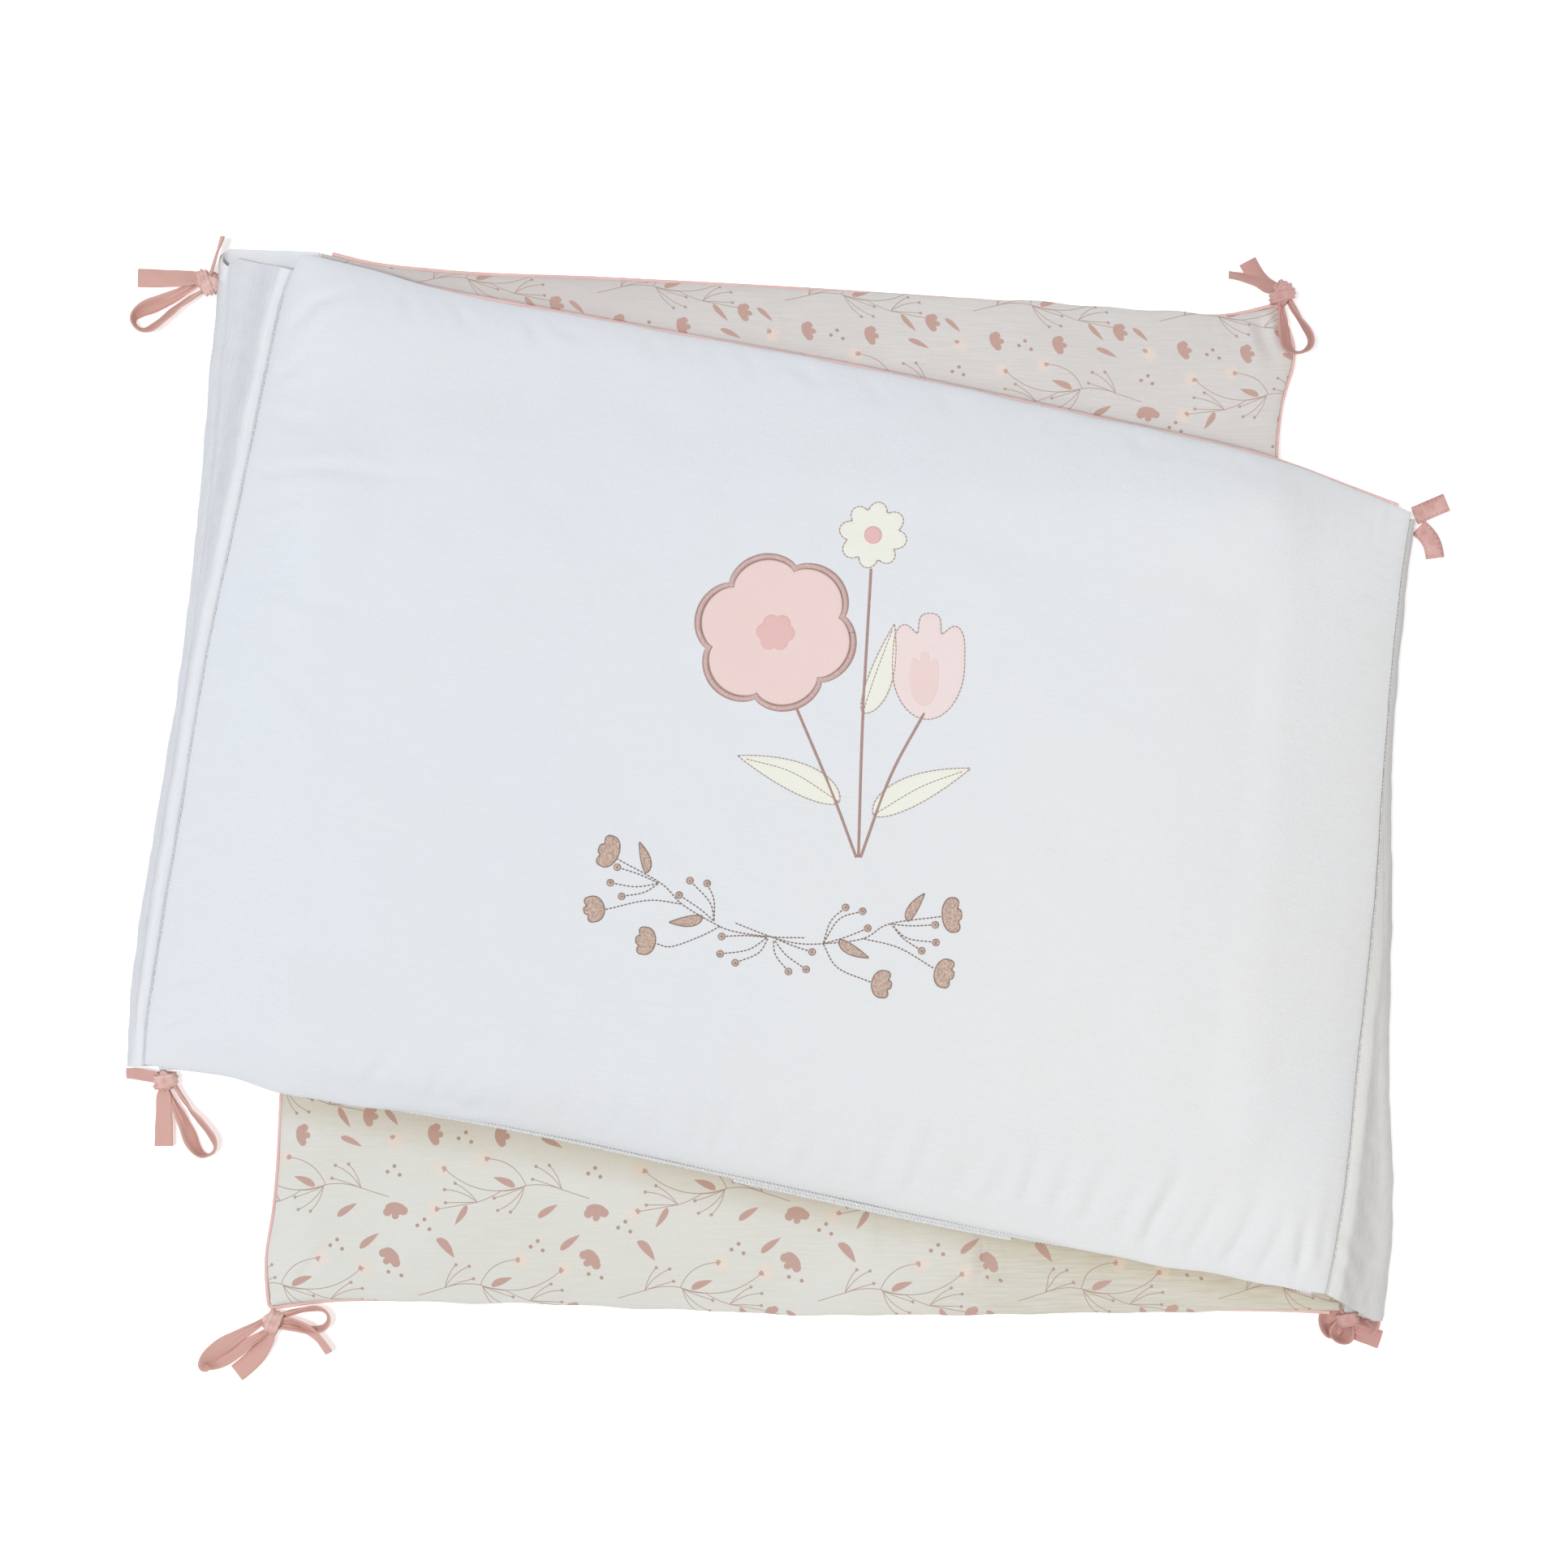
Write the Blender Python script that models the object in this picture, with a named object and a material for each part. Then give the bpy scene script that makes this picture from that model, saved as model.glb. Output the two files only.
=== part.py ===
"""A padded crib bumper, folded in three and laid flat.

Three padded panels are joined by two unpadded strips of white cloth. The centre panel lies on
top with its white face up. The left and right panels are folded under it, so that their printed
backs face up and show past its edges. Bands of cloth are tied at the six corners that show.

Metres, +Z up. +X runs along the bumper, +Y towards its top edge. The floor is at Z = 0.
"""

import math

import bmesh
import bpy
import numpy as np
from mathutils import Vector

MM = 0.001

# ---- driving sizes, in millimetres ---------------------------------------------------------
SEAM_HEIGHT = 7.0  # a panel's seam above what the panel lies on
SEAM_THICKNESS = 3.0  # both cloths and their turnings, at the seam
EDGE_ROUND = 34.0  # the filling reaches most of its loft this far in from a seam
CROWN_ROUND = 150.0  # and all of it this far in
EDGE_SHARE = 0.76  # share of the loft that the edge rounding gives
UNDER_ROUND = 20.0  # the underside is flat this far in from a seam
LAYER_GAP = 1.6  # between one panel and what it lies on
SAG_CURVE = 9.0  # how sharply a padded panel bends down off an edge, 1/m
HINGE_THICKNESS = 2.0  # the strip between two panels, two cloths
CLEARANCE = 0.5  # between a panel and its piping
STRIP_CLEARANCE = 0.8  # between a panel and the strip sewn to it
PIPING_RADIUS = 1.6
TIE_WIDTH = 9.0
TIE_THICKNESS = 1.5
OUTLINE_MIDDLE = (0.97, -1.32)  # the middle of the outline in the tables below

# Each panel as it lies, seen from above. Corners are (x, y). The four side rows give how far the
# side stands out from the line between its corners, at each of the stops; a minus sign is drawn
# in. Top and bottom run to the right, left and right run up.
STOPS = (0.05, 0.12, 0.3, 0.5, 0.7, 0.88, 0.95)
PANELS = {
    "right_panel": {
        "top_left": (-220, 155),
        "top_right": (264, 140),
        "bottom_left": (-247, -240.5),
        "bottom_right": (269, -243),
        "top": (-3, -4, -4, -3, -4, -4, -3),
        "bottom": (-3.5, -4.5, -2.8, 1, 0.1, -1.6, -1.2),
        "left": (2.5, 0.6, 1, 0.5, 0, -1, -1),
        "right": (0, -1, -2, -2, -2, -1, 0),
        "loft": 19,
    },
    "left_panel": {
        "top_left": (-223, 266),
        "top_right": (237, 240),
        "bottom_left": (-241, -126),
        "bottom_right": (217, -153),
        "top": (-4.5, -6.5, -5.7, -5.3, -6.1, -7, -6.4),
        "bottom": (-2, -3, -3, -3, -3, -3, -2),
        "left": (0, -1, -1, -1, -1, -1, 0),
        "right": (4, 2, 2, 4, 3, 3.5, 8),
        "loft": 18,
    },
    "centre_panel": {
        "top_left": (-232, 264),
        "top_right": (301, 141),
        "bottom_left": (-307, -124),
        "bottom_right": (259, -233),
        "top": (-0.4, -1.9, 1.3, 6.2, 7.9, 7.2, 3.2),
        "bottom": (-4.3, -3.7, -5.6, -2.8, -0.1, -1.7, -2),
        "left": (1.9, 3.1, 4.8, 6.8, 5, 4.4, 3.4),
        "right": (1.3, 2.8, 2.7, 2.5, -0.6, -1.9, -1.3),
        "loft": 25,
    },
}
GRID = {"centre_panel": (28, 20), "left_panel": (24, 22), "right_panel": (24, 18)}

# The two strips. reach is how far the fold stands out past the centre panel's side, at the
# bottom, at each of the stops and at the top. ends is the part of the centre panel's side that
# the strip is sewn to. shift is how far the fold is pulled up, at the bottom and at the top, and
# skew how much higher the fold's lower turn is than its upper turn, at the same ends.
HINGES = {
    "left_hinge": {
        "under": "left_panel",
        "side": 0.0,
        "reach": (8, 9.5, 11, 12, 12, 20, 28, 31, 36),
        "ends": (0.0, 0.985),
        "shift": (0, 4.5),
        "skew": (0, 5),
    },
    "right_hinge": {
        "under": "right_panel",
        "side": 1.0,
        "reach": (28, 27.5, 25, 16, 9, 4, 3.5, 3, 3),
        "ends": (0.0, 0.985),
        "shift": (-9, 0),
        "skew": (0, 0),
    },
}
HINGE_OUT = 4  # steps from the centre panel's seam to the fold
HINGE_TURN = 6  # round the fold
HINGE_BACK = 5  # back to the lower panel's seam
HINGE_STEPS = HINGE_OUT + HINGE_TURN + HINGE_BACK
HINGE_ROWS = 20
FOLD_RADIUS = 4.0
EASY_REACH = 18.0  # a strip that stands out less than this keeps its height to the fold
LEAST_TURN = 9.0  # the fold is at least this far past the lower panel's seam

# The bands of cloth tied at the corners. way is the band's path from its seam to its knot, each
# point (x, y, z). A loop leaves the knot and comes back to it: heading in degrees from +X, length,
# breadth, the tilt of the band's face on the way out and on the way back, 0 flat and 90 on edge,
# and the height of what it lies on. A tail has a heading, a length, how far it bends aside, its
# tilt and the height of what it lies on.
TIES = {
    "tie_left_top": {
        "way": ((-271, 273, 8), (-279, 265, 9), (-278, 250, 7)),
        "loops": ((208, 41, 12, 65, 18, 0),),
        "tails": ((178, 37, 0, 6, 0),),
    },
    "tie_left_bottom": {
        "way": ((-317, -129, 5), (-308, -131.5, 5), (-297, -134, 6)),
        "loops": ((297, 38, 11, 60, 22, 0),),
        "tails": ((268, 32, 0, 6, 0),),
    },
    "tie_right_top": {
        "way": ((305.2, 140, 2),),
        "loops": (),
        "tails": ((24, 15, 0, 4, 0), (290, 20, 2, 8, 0)),
    },
    "tie_right_bottom": {
        "way": ((284, -252, 4), (279, -252, 5), (271.5, -251, 5)),
        "loops": ((200, 13, 8, 76, 76, 0), (256, 12, 8, 78, 70, 0)),
        "tails": ((330, 18, 0, 8, 0), (2, 14, 0, 60, 0)),
    },
    "tie_left_panel": {
        "way": ((240, 240, 12), (239, 243, 13), (239, 247, 14)),
        "loops": ((300, 36, 13, 60, 35, 10),),
        "tails": ((134, 21, 2, 12, 3), (162, 24, -2, 65, 3)),
    },
    "tie_right_panel": {
        "way": ((-247.5, -246, 5), (-247, -248, 6), (-246, -250, 6)),
        "loops": ((357, 26, 8, 66, 66, 0), (209, 38, 9, 30, 55, 0)),
        "tails": ((330, 29, 4, 70, 0), (236, 29, 4, 10, 0)),
    },
}
KNOT_SIZE = (10.0, 9.0, 8.0)
GATHER_LENGTH = 0.28  # share of a band over which it narrows into its knot
GATHERED_SHARE = 0.3  # its width in the knot, as a share of the full width
LOOP_NECK = 2.6  # half the distance between a loop's two ends in the knot
TIE_CLEAR = 0.4  # between a band and the floor
STEM_TILT = 55
STEM_STEPS = 4
TAIL_STEPS = 8
LOOP_STEPS = 18

WHITE_COTTON = (0.86, 0.88, 0.92)
PRINTED_COTTON = (0.88, 0.85, 0.80)
PINK_COTTON = (0.86, 0.52, 0.48)


def material(name, colour, roughness):
    """A plain cloth finish."""
    made = bpy.data.materials.new(name)
    made.use_nodes = True
    shader = made.node_tree.nodes["Principled BSDF"]
    shader.inputs["Base Color"].default_value = (*colour, 1)
    shader.inputs["Roughness"].default_value = roughness
    shader.inputs["Metallic"].default_value = 0
    made.diffuse_color = (*colour, 1)
    return made


def place_all():
    """Puts the middle of the part's outline over the origin."""
    for made in bpy.data.objects:
        made.location = Vector((-OUTLINE_MIDDLE[0], -OUTLINE_MIDDLE[1], 0)) * MM


def clear_scene():
    for old in list(bpy.data.objects):
        bpy.data.objects.remove(old)


# ---- outlines ------------------------------------------------------------------------------
def smooth_table(stops, heights, t):
    """A smooth curve through the given heights at the given stops."""
    stops = np.array(stops)
    heights = np.array(heights, float)
    slopes = np.gradient(heights, stops)
    t = np.asarray(t, float)
    k = np.clip(np.searchsorted(stops, t) - 1, 0, len(stops) - 2)
    step = stops[k + 1] - stops[k]
    s = (t - stops[k]) / step
    start = (2 * s**3 - 3 * s**2 + 1) * heights[k] + (s**3 - 2 * s**2 + s) * step * slopes[k]
    end = (3 * s**2 - 2 * s**3) * heights[k + 1] + (s**3 - s**2) * step * slopes[k + 1]
    return start + end


def side_curve(panel, start, end, side, turn, t):
    """Points along one side, shape (n, 2). turn is +1 where outwards is to the left of the way."""
    first = np.array(panel[start], float)
    last = np.array(panel[end], float)
    way = (last - first) / np.linalg.norm(last - first)
    outward = turn * np.array((-way[1], way[0]))
    stand = smooth_table((0, *STOPS, 1), (0, *panel[side], 0), t)
    return first + np.outer(t, last - first) + np.outer(stand, outward)


def plan(panel, u, v):
    """x and y, in millimetres, of the panel's point at u from its left and v from its bottom."""
    u = np.asarray(u, float)
    v = np.asarray(v, float)
    shape = np.broadcast(u, v).shape
    u = np.broadcast_to(u, shape).ravel()
    v = np.broadcast_to(v, shape).ravel()
    bottom = side_curve(panel, "bottom_left", "bottom_right", "bottom", -1, u)
    top = side_curve(panel, "top_left", "top_right", "top", 1, u)
    left = side_curve(panel, "bottom_left", "top_left", "left", 1, v)
    right = side_curve(panel, "bottom_right", "top_right", "right", -1, v)
    corner = {k: np.array(panel[k], float) for k in ("bottom_left", "bottom_right", "top_left", "top_right")}
    u, v = u[:, None], v[:, None]
    ruled = (1 - v) * bottom + v * top + (1 - u) * left + u * right
    flat = (1 - v) * ((1 - u) * corner["bottom_left"] + u * corner["bottom_right"])
    flat = flat + v * ((1 - u) * corner["top_left"] + u * corner["top_right"])
    points = (ruled - flat).reshape(*shape, 2)
    return points[..., 0], points[..., 1]


# ---- filling -------------------------------------------------------------------------------
def rounded(distance, radius):
    """0 at a seam, rising as a quarter circle to 1 at the given radius."""
    near = np.clip(distance / radius, 0, 1)
    return np.sqrt(1 - (1 - near) ** 2)


def spans(panel):
    """The panel's length and height, in millimetres, each the mean of two opposite sides."""
    corner = {k: np.array(panel[k], float) for k in ("bottom_left", "bottom_right", "top_left", "top_right")}
    length = np.linalg.norm(corner["top_right"] - corner["top_left"])
    length += np.linalg.norm(corner["bottom_right"] - corner["bottom_left"])
    height = np.linalg.norm(corner["top_left"] - corner["bottom_left"])
    height += np.linalg.norm(corner["top_right"] - corner["bottom_right"])
    return length / 2, height / 2


def swell(panel, u, v, radius):
    """How full the panel is at (u, v), 0 at a seam and 1 beyond the radius from every seam."""
    length, height = spans(panel)
    along = rounded(np.minimum(u, 1 - u) * length, radius)
    across = rounded(np.minimum(v, 1 - v) * height, radius)
    return along * across


def unevenness(u, v, phase):
    """Soft lumps in the filling, between about -1 and 1."""
    broad = np.sin(7.1 * u + phase) * np.cos(5.3 * v - 0.7 * phase)
    small = np.sin(15.7 * u - 1.9 * phase) * np.sin(12.9 * v + phase)
    return 0.65 * broad + 0.35 * small


def under_and_over(panel, u, v, base):
    """Heights of the underside and of the upper face, in millimetres, over what carries the panel."""
    flat = swell(panel, u, v, UNDER_ROUND)
    full = EDGE_SHARE * swell(panel, u, v, EDGE_ROUND)
    full = full + (1 - EDGE_SHARE) * swell(panel, u, v, CROWN_ROUND)
    seam_under = SEAM_HEIGHT - SEAM_THICKNESS / 2
    seam_over = SEAM_HEIGHT + SEAM_THICKNESS / 2
    loft = panel["loft"] + 1.2 * unevenness(u, v, panel["loft"])
    under = base + seam_under * (1 - flat)
    over = base + seam_over + (loft - seam_over) * full
    return under, over


# ---- how the layers lie on each other -------------------------------------------------------
class Heap:
    """The height of everything laid down so far, on a square grid over the floor."""

    CELL = 6.0
    HALF = (420.0, 360.0)

    def __init__(self):
        self.size = [int(2 * half / self.CELL) + 1 for half in self.HALF]
        self.height = np.zeros(self.size)

    def cells(self, x, y):
        return (x + self.HALF[0]) / self.CELL, (y + self.HALF[1]) / self.CELL

    def add(self, panel, base_of):
        """Lays the panel's upper face on the heap, and one cell past its edge."""
        u, v = np.meshgrid(np.linspace(0, 1, 260), np.linspace(0, 1, 200), indexing="ij")
        x, y = plan(panel, u, v)
        over = under_and_over(panel, u, v, base_of(x, y))[1]
        i, j = (np.rint(c).astype(int) for c in self.cells(x, y))
        for di in (-1, 0, 1):
            for dj in (-1, 0, 1):
                np.maximum.at(self.height, (i + di, j + dj), over)

    def settled(self, least):
        """The surface of a heavy padded sheet laid on the heap, no lower than the least height."""
        carried = np.maximum(self.height, least)
        sheet = np.full_like(carried, carried.max())
        fall = SAG_CURVE * MM * self.CELL**2 / 4
        for _ in range(2600):
            around = np.pad(sheet, 1, mode="edge")
            mean = (around[:-2, 1:-1] + around[2:, 1:-1] + around[1:-1, :-2] + around[1:-1, 2:]) / 4
            sheet = np.maximum(carried, mean - fall)
        return sheet

    def sampler(self, sheet, lift):
        """A function that reads the sheet's height at x and y, raised by lift where it isn't on the floor."""

        def read(x, y):
            i, j = self.cells(np.asarray(x, float), np.asarray(y, float))
            i0 = np.clip(np.floor(i).astype(int), 0, self.size[0] - 2)
            j0 = np.clip(np.floor(j).astype(int), 0, self.size[1] - 2)
            a, b = i - i0, j - j0
            near = (1 - a) * ((1 - b) * sheet[i0, j0] + b * sheet[i0, j0 + 1])
            far = a * ((1 - b) * sheet[i0 + 1, j0] + b * sheet[i0 + 1, j0 + 1])
            return near + far + lift

        return read


def lay_panels():
    """For each panel, a function that gives the height of what it lies on at x and y."""
    heap = Heap()
    bases = {"right_panel": heap.sampler(heap.height.copy(), 0.0)}
    heap.add(PANELS["right_panel"], bases["right_panel"])
    bases["left_panel"] = heap.sampler(heap.settled(0.0), LAYER_GAP)
    heap.add(PANELS["left_panel"], bases["left_panel"])
    bases["centre_panel"] = heap.sampler(heap.settled(HINGE_THICKNESS + 3), LAYER_GAP)
    return bases


# ---- solids --------------------------------------------------------------------------------
def finish_object(name, bm, finish, smooth_below=50):
    """Turns the faces outwards, and links the mesh as one object."""
    bmesh.ops.recalc_face_normals(bm, faces=bm.faces)
    if bm.calc_volume(signed=True) < 0:
        bmesh.ops.reverse_faces(bm, faces=bm.faces)
    mesh = bpy.data.meshes.new(name)
    bm.to_mesh(mesh)
    bm.free()
    mesh.materials.append(finish)
    mesh.shade_smooth()
    mesh.set_sharp_from_angle(angle=math.radians(smooth_below))
    made = bpy.data.objects.new(name, mesh)
    bpy.context.scene.collection.objects.link(made)
    return made


def slab(name, columns, rows, place, finish):
    """A closed sheet: a grid, its extruded copy and the walls between. place(u, v, upper) gives a point."""
    bm = bmesh.new()
    bmesh.ops.create_grid(bm, x_segments=columns, y_segments=rows, size=0.5)
    grown = bmesh.ops.extrude_face_region(bm, geom=list(bm.faces), use_keep_orig=True)
    upper = {element for element in grown["geom"] if isinstance(element, bmesh.types.BMVert)}
    for vert in bm.verts:
        u = min(max(vert.co.x + 0.5, 0.0), 1.0)
        v = min(max(vert.co.y + 0.5, 0.0), 1.0)
        vert.co = place(u, v, vert in upper)
    return finish_object(name, bm, finish)


def crowd_edges(t, share=0.72):
    """Moves an even step towards the nearer end, so that the grid is finer along the seams."""
    return (1 - share) * t + share * (0.5 - 0.5 * math.cos(math.pi * t))


def panel_solid(name, base_of, finish):
    panel = PANELS[name]
    columns, rows = GRID[name]

    def place(u, v, upper):
        u, v = crowd_edges(u), crowd_edges(v)
        x, y = plan(panel, u, v)
        z = under_and_over(panel, u, v, base_of(x, y))[1 if upper else 0]
        return Vector((x, y, z)) * MM

    return slab(name, columns, rows, place, finish)


def seam_point(panel, base_of, u, v, away=0.0):
    """A point on the middle of the panel's seam, moved straight out from it by the given distance."""
    x, y = plan(panel, u, v)
    inner_x, inner_y = plan(panel, u + (0.5 - u) * 0.02, v + (0.5 - v) * 0.02)
    if u in (0.0, 1.0) and 0.0 < v < 1.0:
        inner_x, inner_y = plan(panel, u + (0.5 - u) * 0.02, v)
    elif v in (0.0, 1.0) and 0.0 < u < 1.0:
        inner_x, inner_y = plan(panel, u, v + (0.5 - v) * 0.02)
    outward = np.array((x - inner_x, y - inner_y))
    outward = outward / np.linalg.norm(outward)
    z = base_of(x, y) + SEAM_HEIGHT
    return np.array((x + away * outward[0], y + away * outward[1], z))


def fold_tip(hinge, first, last, v):
    """x and y of the strip's fold between its two sewn edges."""
    sign = 1.0 if hinge["side"] else -1.0
    x = first[0] + sign * float(smooth_table((0, *STOPS, 1), hinge["reach"], v))
    least = last[0] + sign * LEAST_TURN
    x = max(x, least) if hinge["side"] else min(x, least)
    low_shift, high_shift = hinge["shift"]
    y = (first[1] + last[1]) / 2 + low_shift * (1 - v) ** 3 + high_shift * v**3
    return x, y


def hinge_section(hinge, bases, v):
    """The strip's middle line at v: out from the centre panel's seam, round the fold and back in."""
    low, high = hinge["ends"]
    side = hinge["side"]
    sign = 1.0 if side else -1.0
    over = bases["centre_panel"]
    first = seam_point(PANELS["centre_panel"], over, side, low + (high - low) * v,
                       STRIP_CLEARANCE)
    last = seam_point(PANELS[hinge["under"]], bases[hinge["under"]], side, v, STRIP_CLEARANCE)
    tip_x, tip_y = fold_tip(hinge, first, last, v)
    below = HINGE_THICKNESS / 2 + LAYER_GAP + 0.4
    tip_low = min(float(over(tip_x, tip_y)), first[2] - SEAM_HEIGHT) - below
    room = abs(tip_x - first[0])
    ease = min(1.0, room / EASY_REACH) ** 2
    tip_high = first[2] + (min(tip_low + 2 * FOLD_RADIUS, first[2]) - first[2]) * ease
    middle = (tip_low + tip_high) / 2
    reach = min(FOLD_RADIUS, room - 0.6)
    turn_x = tip_x - sign * reach
    points = []
    for k in range(HINGE_OUT):
        t = k / HINGE_OUT
        ease = t * t * (3 - 2 * t)
        points.append((first[0] + (turn_x - first[0]) * t, first[1] + (tip_y - first[1]) * t,
                       first[2] + (tip_high - first[2]) * ease))
    low_skew, high_skew = hinge["skew"]
    skew = low_skew * (1 - v) ** 3 + high_skew * v**3
    tip_y -= skew / 2
    for k in range(HINGE_TURN + 1):
        angle = math.pi * k / HINGE_TURN
        points.append((turn_x + sign * reach * math.sin(angle), tip_y + skew * k / HINGE_TURN,
                       middle + (tip_high - tip_low) / 2 * math.cos(angle)))
    tip_y += skew
    for k in range(1, HINGE_BACK + 1):
        t = k / HINGE_BACK
        x = turn_x + (last[0] - turn_x) * t
        y = tip_y + (last[1] - tip_y) * t
        z = tip_low + (last[2] - tip_low) * t
        points.append((x, y, min(z, float(over(x, y)) - below)))
    return np.array(points)


def hinge_solid(name, bases, finish):
    """A strip of double cloth folded between the centre panel and the panel under it."""
    hinge = HINGES[name]
    sections = {}

    def section_at(v):
        key = round(v, 6)
        if key not in sections:
            sections[key] = hinge_section(hinge, bases, v)
        return sections[key]

    def place(u, v, upper):
        line = section_at(crowd_edges(v))
        k = round(u * HINGE_STEPS)
        before, after = line[max(k - 1, 0)], line[min(k + 1, HINGE_STEPS)]
        run_x, run_z = after[0] - before[0], after[2] - before[2]
        size = math.hypot(run_x, run_z)
        offset = HINGE_THICKNESS / 2 * (1 if upper else -1)
        x = line[k][0] - offset * run_z / size
        z = line[k][2] + offset * run_x / size
        return Vector((x, line[k][1], max(z, 0.0))) * MM

    return slab(name, HINGE_STEPS, HINGE_ROWS, place, finish)


def tube(name, points, radius, finish, sides=1):
    """A cord through the points, with filled ends."""
    curve = bpy.data.curves.new(name, "CURVE")
    curve.dimensions = "3D"
    curve.bevel_depth = radius * MM
    curve.bevel_resolution = sides
    curve.use_fill_caps = True
    spline = curve.splines.new("POLY")
    spline.points.add(len(points) - 1)
    for target, point in zip(spline.points, points):
        target.co = (*(Vector(point) * MM), 1)
    curve.materials.append(finish)
    made = bpy.data.objects.new(name, curve)
    bpy.context.scene.collection.objects.link(made)
    return made


def edge_run(name, base_of, stops):
    """Points just outside the panel's seam, from stop to stop, where a stop is a corner (u, v)."""
    panel = PANELS[name]
    columns, rows = GRID[name]
    away = CLEARANCE + PIPING_RADIUS
    points = []
    for (u0, v0), (u1, v1) in zip(stops, stops[1:]):
        steps = columns if v0 == v1 else rows
        for k in range(steps):
            t = crowd_edges(k / steps)
            points.append(seam_point(panel, base_of, u0 + (u1 - u0) * t, v0 + (v1 - v0) * t, away))
    points.append(seam_point(panel, base_of, *stops[-1], away))
    return points


def pipings(bases, pink, white):
    """The covered cords sewn into the seams. Each keeps clear of the strips at the panel's sewn ends."""
    short = 0.012
    long = 1 - short
    runs = (
        ("piping_centre_top", "centre_panel", ((short, 1.0), (long, 1.0)), pink),
        ("edging_centre_bottom", "centre_panel", ((short, 0.0), (long, 0.0)), white),
        ("piping_left_panel", "left_panel", ((short, 1.0), (1.0, 1.0), (1.0, 0.0), (short, 0.0)), pink),
        ("piping_right_panel", "right_panel", ((long, 1.0), (0.0, 1.0), (0.0, 0.0), (long, 0.0)), pink),
    )
    for name, panel, stops, finish in runs:
        tube(name, edge_run(panel, bases[panel], stops), PIPING_RADIUS, finish)


# ---- ties ----------------------------------------------------------------------------------
def smooth_line(points, steps):
    """Even steps along a curve through the points."""
    points = [np.array(p, float) for p in points]
    padded = [2 * points[0] - points[1], *points, 2 * points[-1] - points[-2]]
    line = []
    for k in range(len(points) - 1):
        a, b, c, d = padded[k : k + 4]
        for s in range(steps):
            t = s / steps
            line.append(0.5 * (2 * b + (c - a) * t + (2 * a - 5 * b + 4 * c - d) * t**2
                               + (3 * b - a - 3 * c + d) * t**3))
    line.append(points[-1])
    return line


def gathered(t, first, last):
    """Share of the full width at t along a band. first and last tell which ends are in the knot."""
    near = min(t if first else 1.0, 1.0 - t if last else 1.0)
    ease = min(1.0, near / GATHER_LENGTH)
    return GATHERED_SHARE + (1 - GATHERED_SHARE) * ease * ease * (3 - 2 * ease)


def band(name, line, tilts, in_knot, finish):
    """A flat band along the line. tilts are those of its face at its two ends."""
    last = len(line) - 1

    def place(u, v, upper):
        k = round(u * last)
        way = Vector(line[min(k + 1, last)] - line[max(k - 1, 0)]).normalized()
        aside = Vector((0, 0, 1)).cross(way).normalized()
        rise = way.cross(aside)
        turn = math.radians(tilts[0] + (tilts[1] - tilts[0]) * u)
        wide = aside * math.cos(turn) + rise * math.sin(turn)
        face = way.cross(wide)
        width = TIE_WIDTH * gathered(k / last, *in_knot)
        point = Vector(line[k]) + wide * (v - 0.5) * width
        point.z = max(point.z, TIE_THICKNESS / 2 + TIE_CLEAR)
        return (point + face * TIE_THICKNESS * (0.5 if upper else -0.5)) * MM

    return slab(name, last, 1, place, finish)


def rest_height(tilt, floor):
    """The height of a band's middle line when its lower edge lies at the floor's height."""
    return floor + TIE_WIDTH / 2 * math.sin(math.radians(tilt)) + TIE_THICKNESS / 2 + TIE_CLEAR


def heading_axes(heading):
    turn = math.radians(heading)
    return np.array((math.cos(turn), math.sin(turn), 0)), np.array((-math.sin(turn), math.cos(turn), 0))


def tail_line(knot, heading, length, bend, tilt, floor):
    way, aside = heading_axes(heading)
    line = []
    for k in range(TAIL_STEPS + 1):
        t = k / TAIL_STEPS
        point = knot + way * length * t + aside * bend * math.sin(math.pi * t)
        point[2] = knot[2] + (rest_height(tilt, floor) - knot[2]) * min(1.0, 1.6 * t) ** 0.7
        line.append(point)
    return line


def loop_line(knot, heading, length, breadth, tilts, floor):
    way, aside = heading_axes(heading)
    line = []
    for k in range(LOOP_STEPS + 1):
        t = k / LOOP_STEPS
        out = length * math.sin(math.pi * t)
        spread = LOOP_NECK * math.cos(math.pi * t) + breadth / 2 * math.sin(2 * math.pi * t)
        point = knot + way * out + aside * spread
        down = min(1.0, out / (0.6 * length))
        rest = rest_height(tilts[0] + (tilts[1] - tilts[0]) * t, floor)
        point[2] = knot[2] + (rest - knot[2]) * down
        line.append(point)
    return line


def knot_lump(name, centre, heading, finish):
    bm = bmesh.new()
    bmesh.ops.create_icosphere(bm, subdivisions=2, radius=0.5)
    turn = math.radians(heading)
    for vert in bm.verts:
        x, y, z = (c * size for c, size in zip(vert.co, KNOT_SIZE))
        vert.co = Vector((centre[0] + x * math.cos(turn) - y * math.sin(turn),
                          centre[1] + x * math.sin(turn) + y * math.cos(turn),
                          max(centre[2] + z, 0.3))) * MM
    return finish_object(name, bm, finish)


def join(made, helpers):
    """Makes one body of the pieces, which stay as hidden helpers."""
    for helper in helpers:
        union = made.modifiers.new("join_" + helper.name, "BOOLEAN")
        union.operation = "UNION"
        union.solver = "EXACT"
        union.object = helper
        helper.hide_render = True
        helper.display_type = "WIRE"


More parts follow.
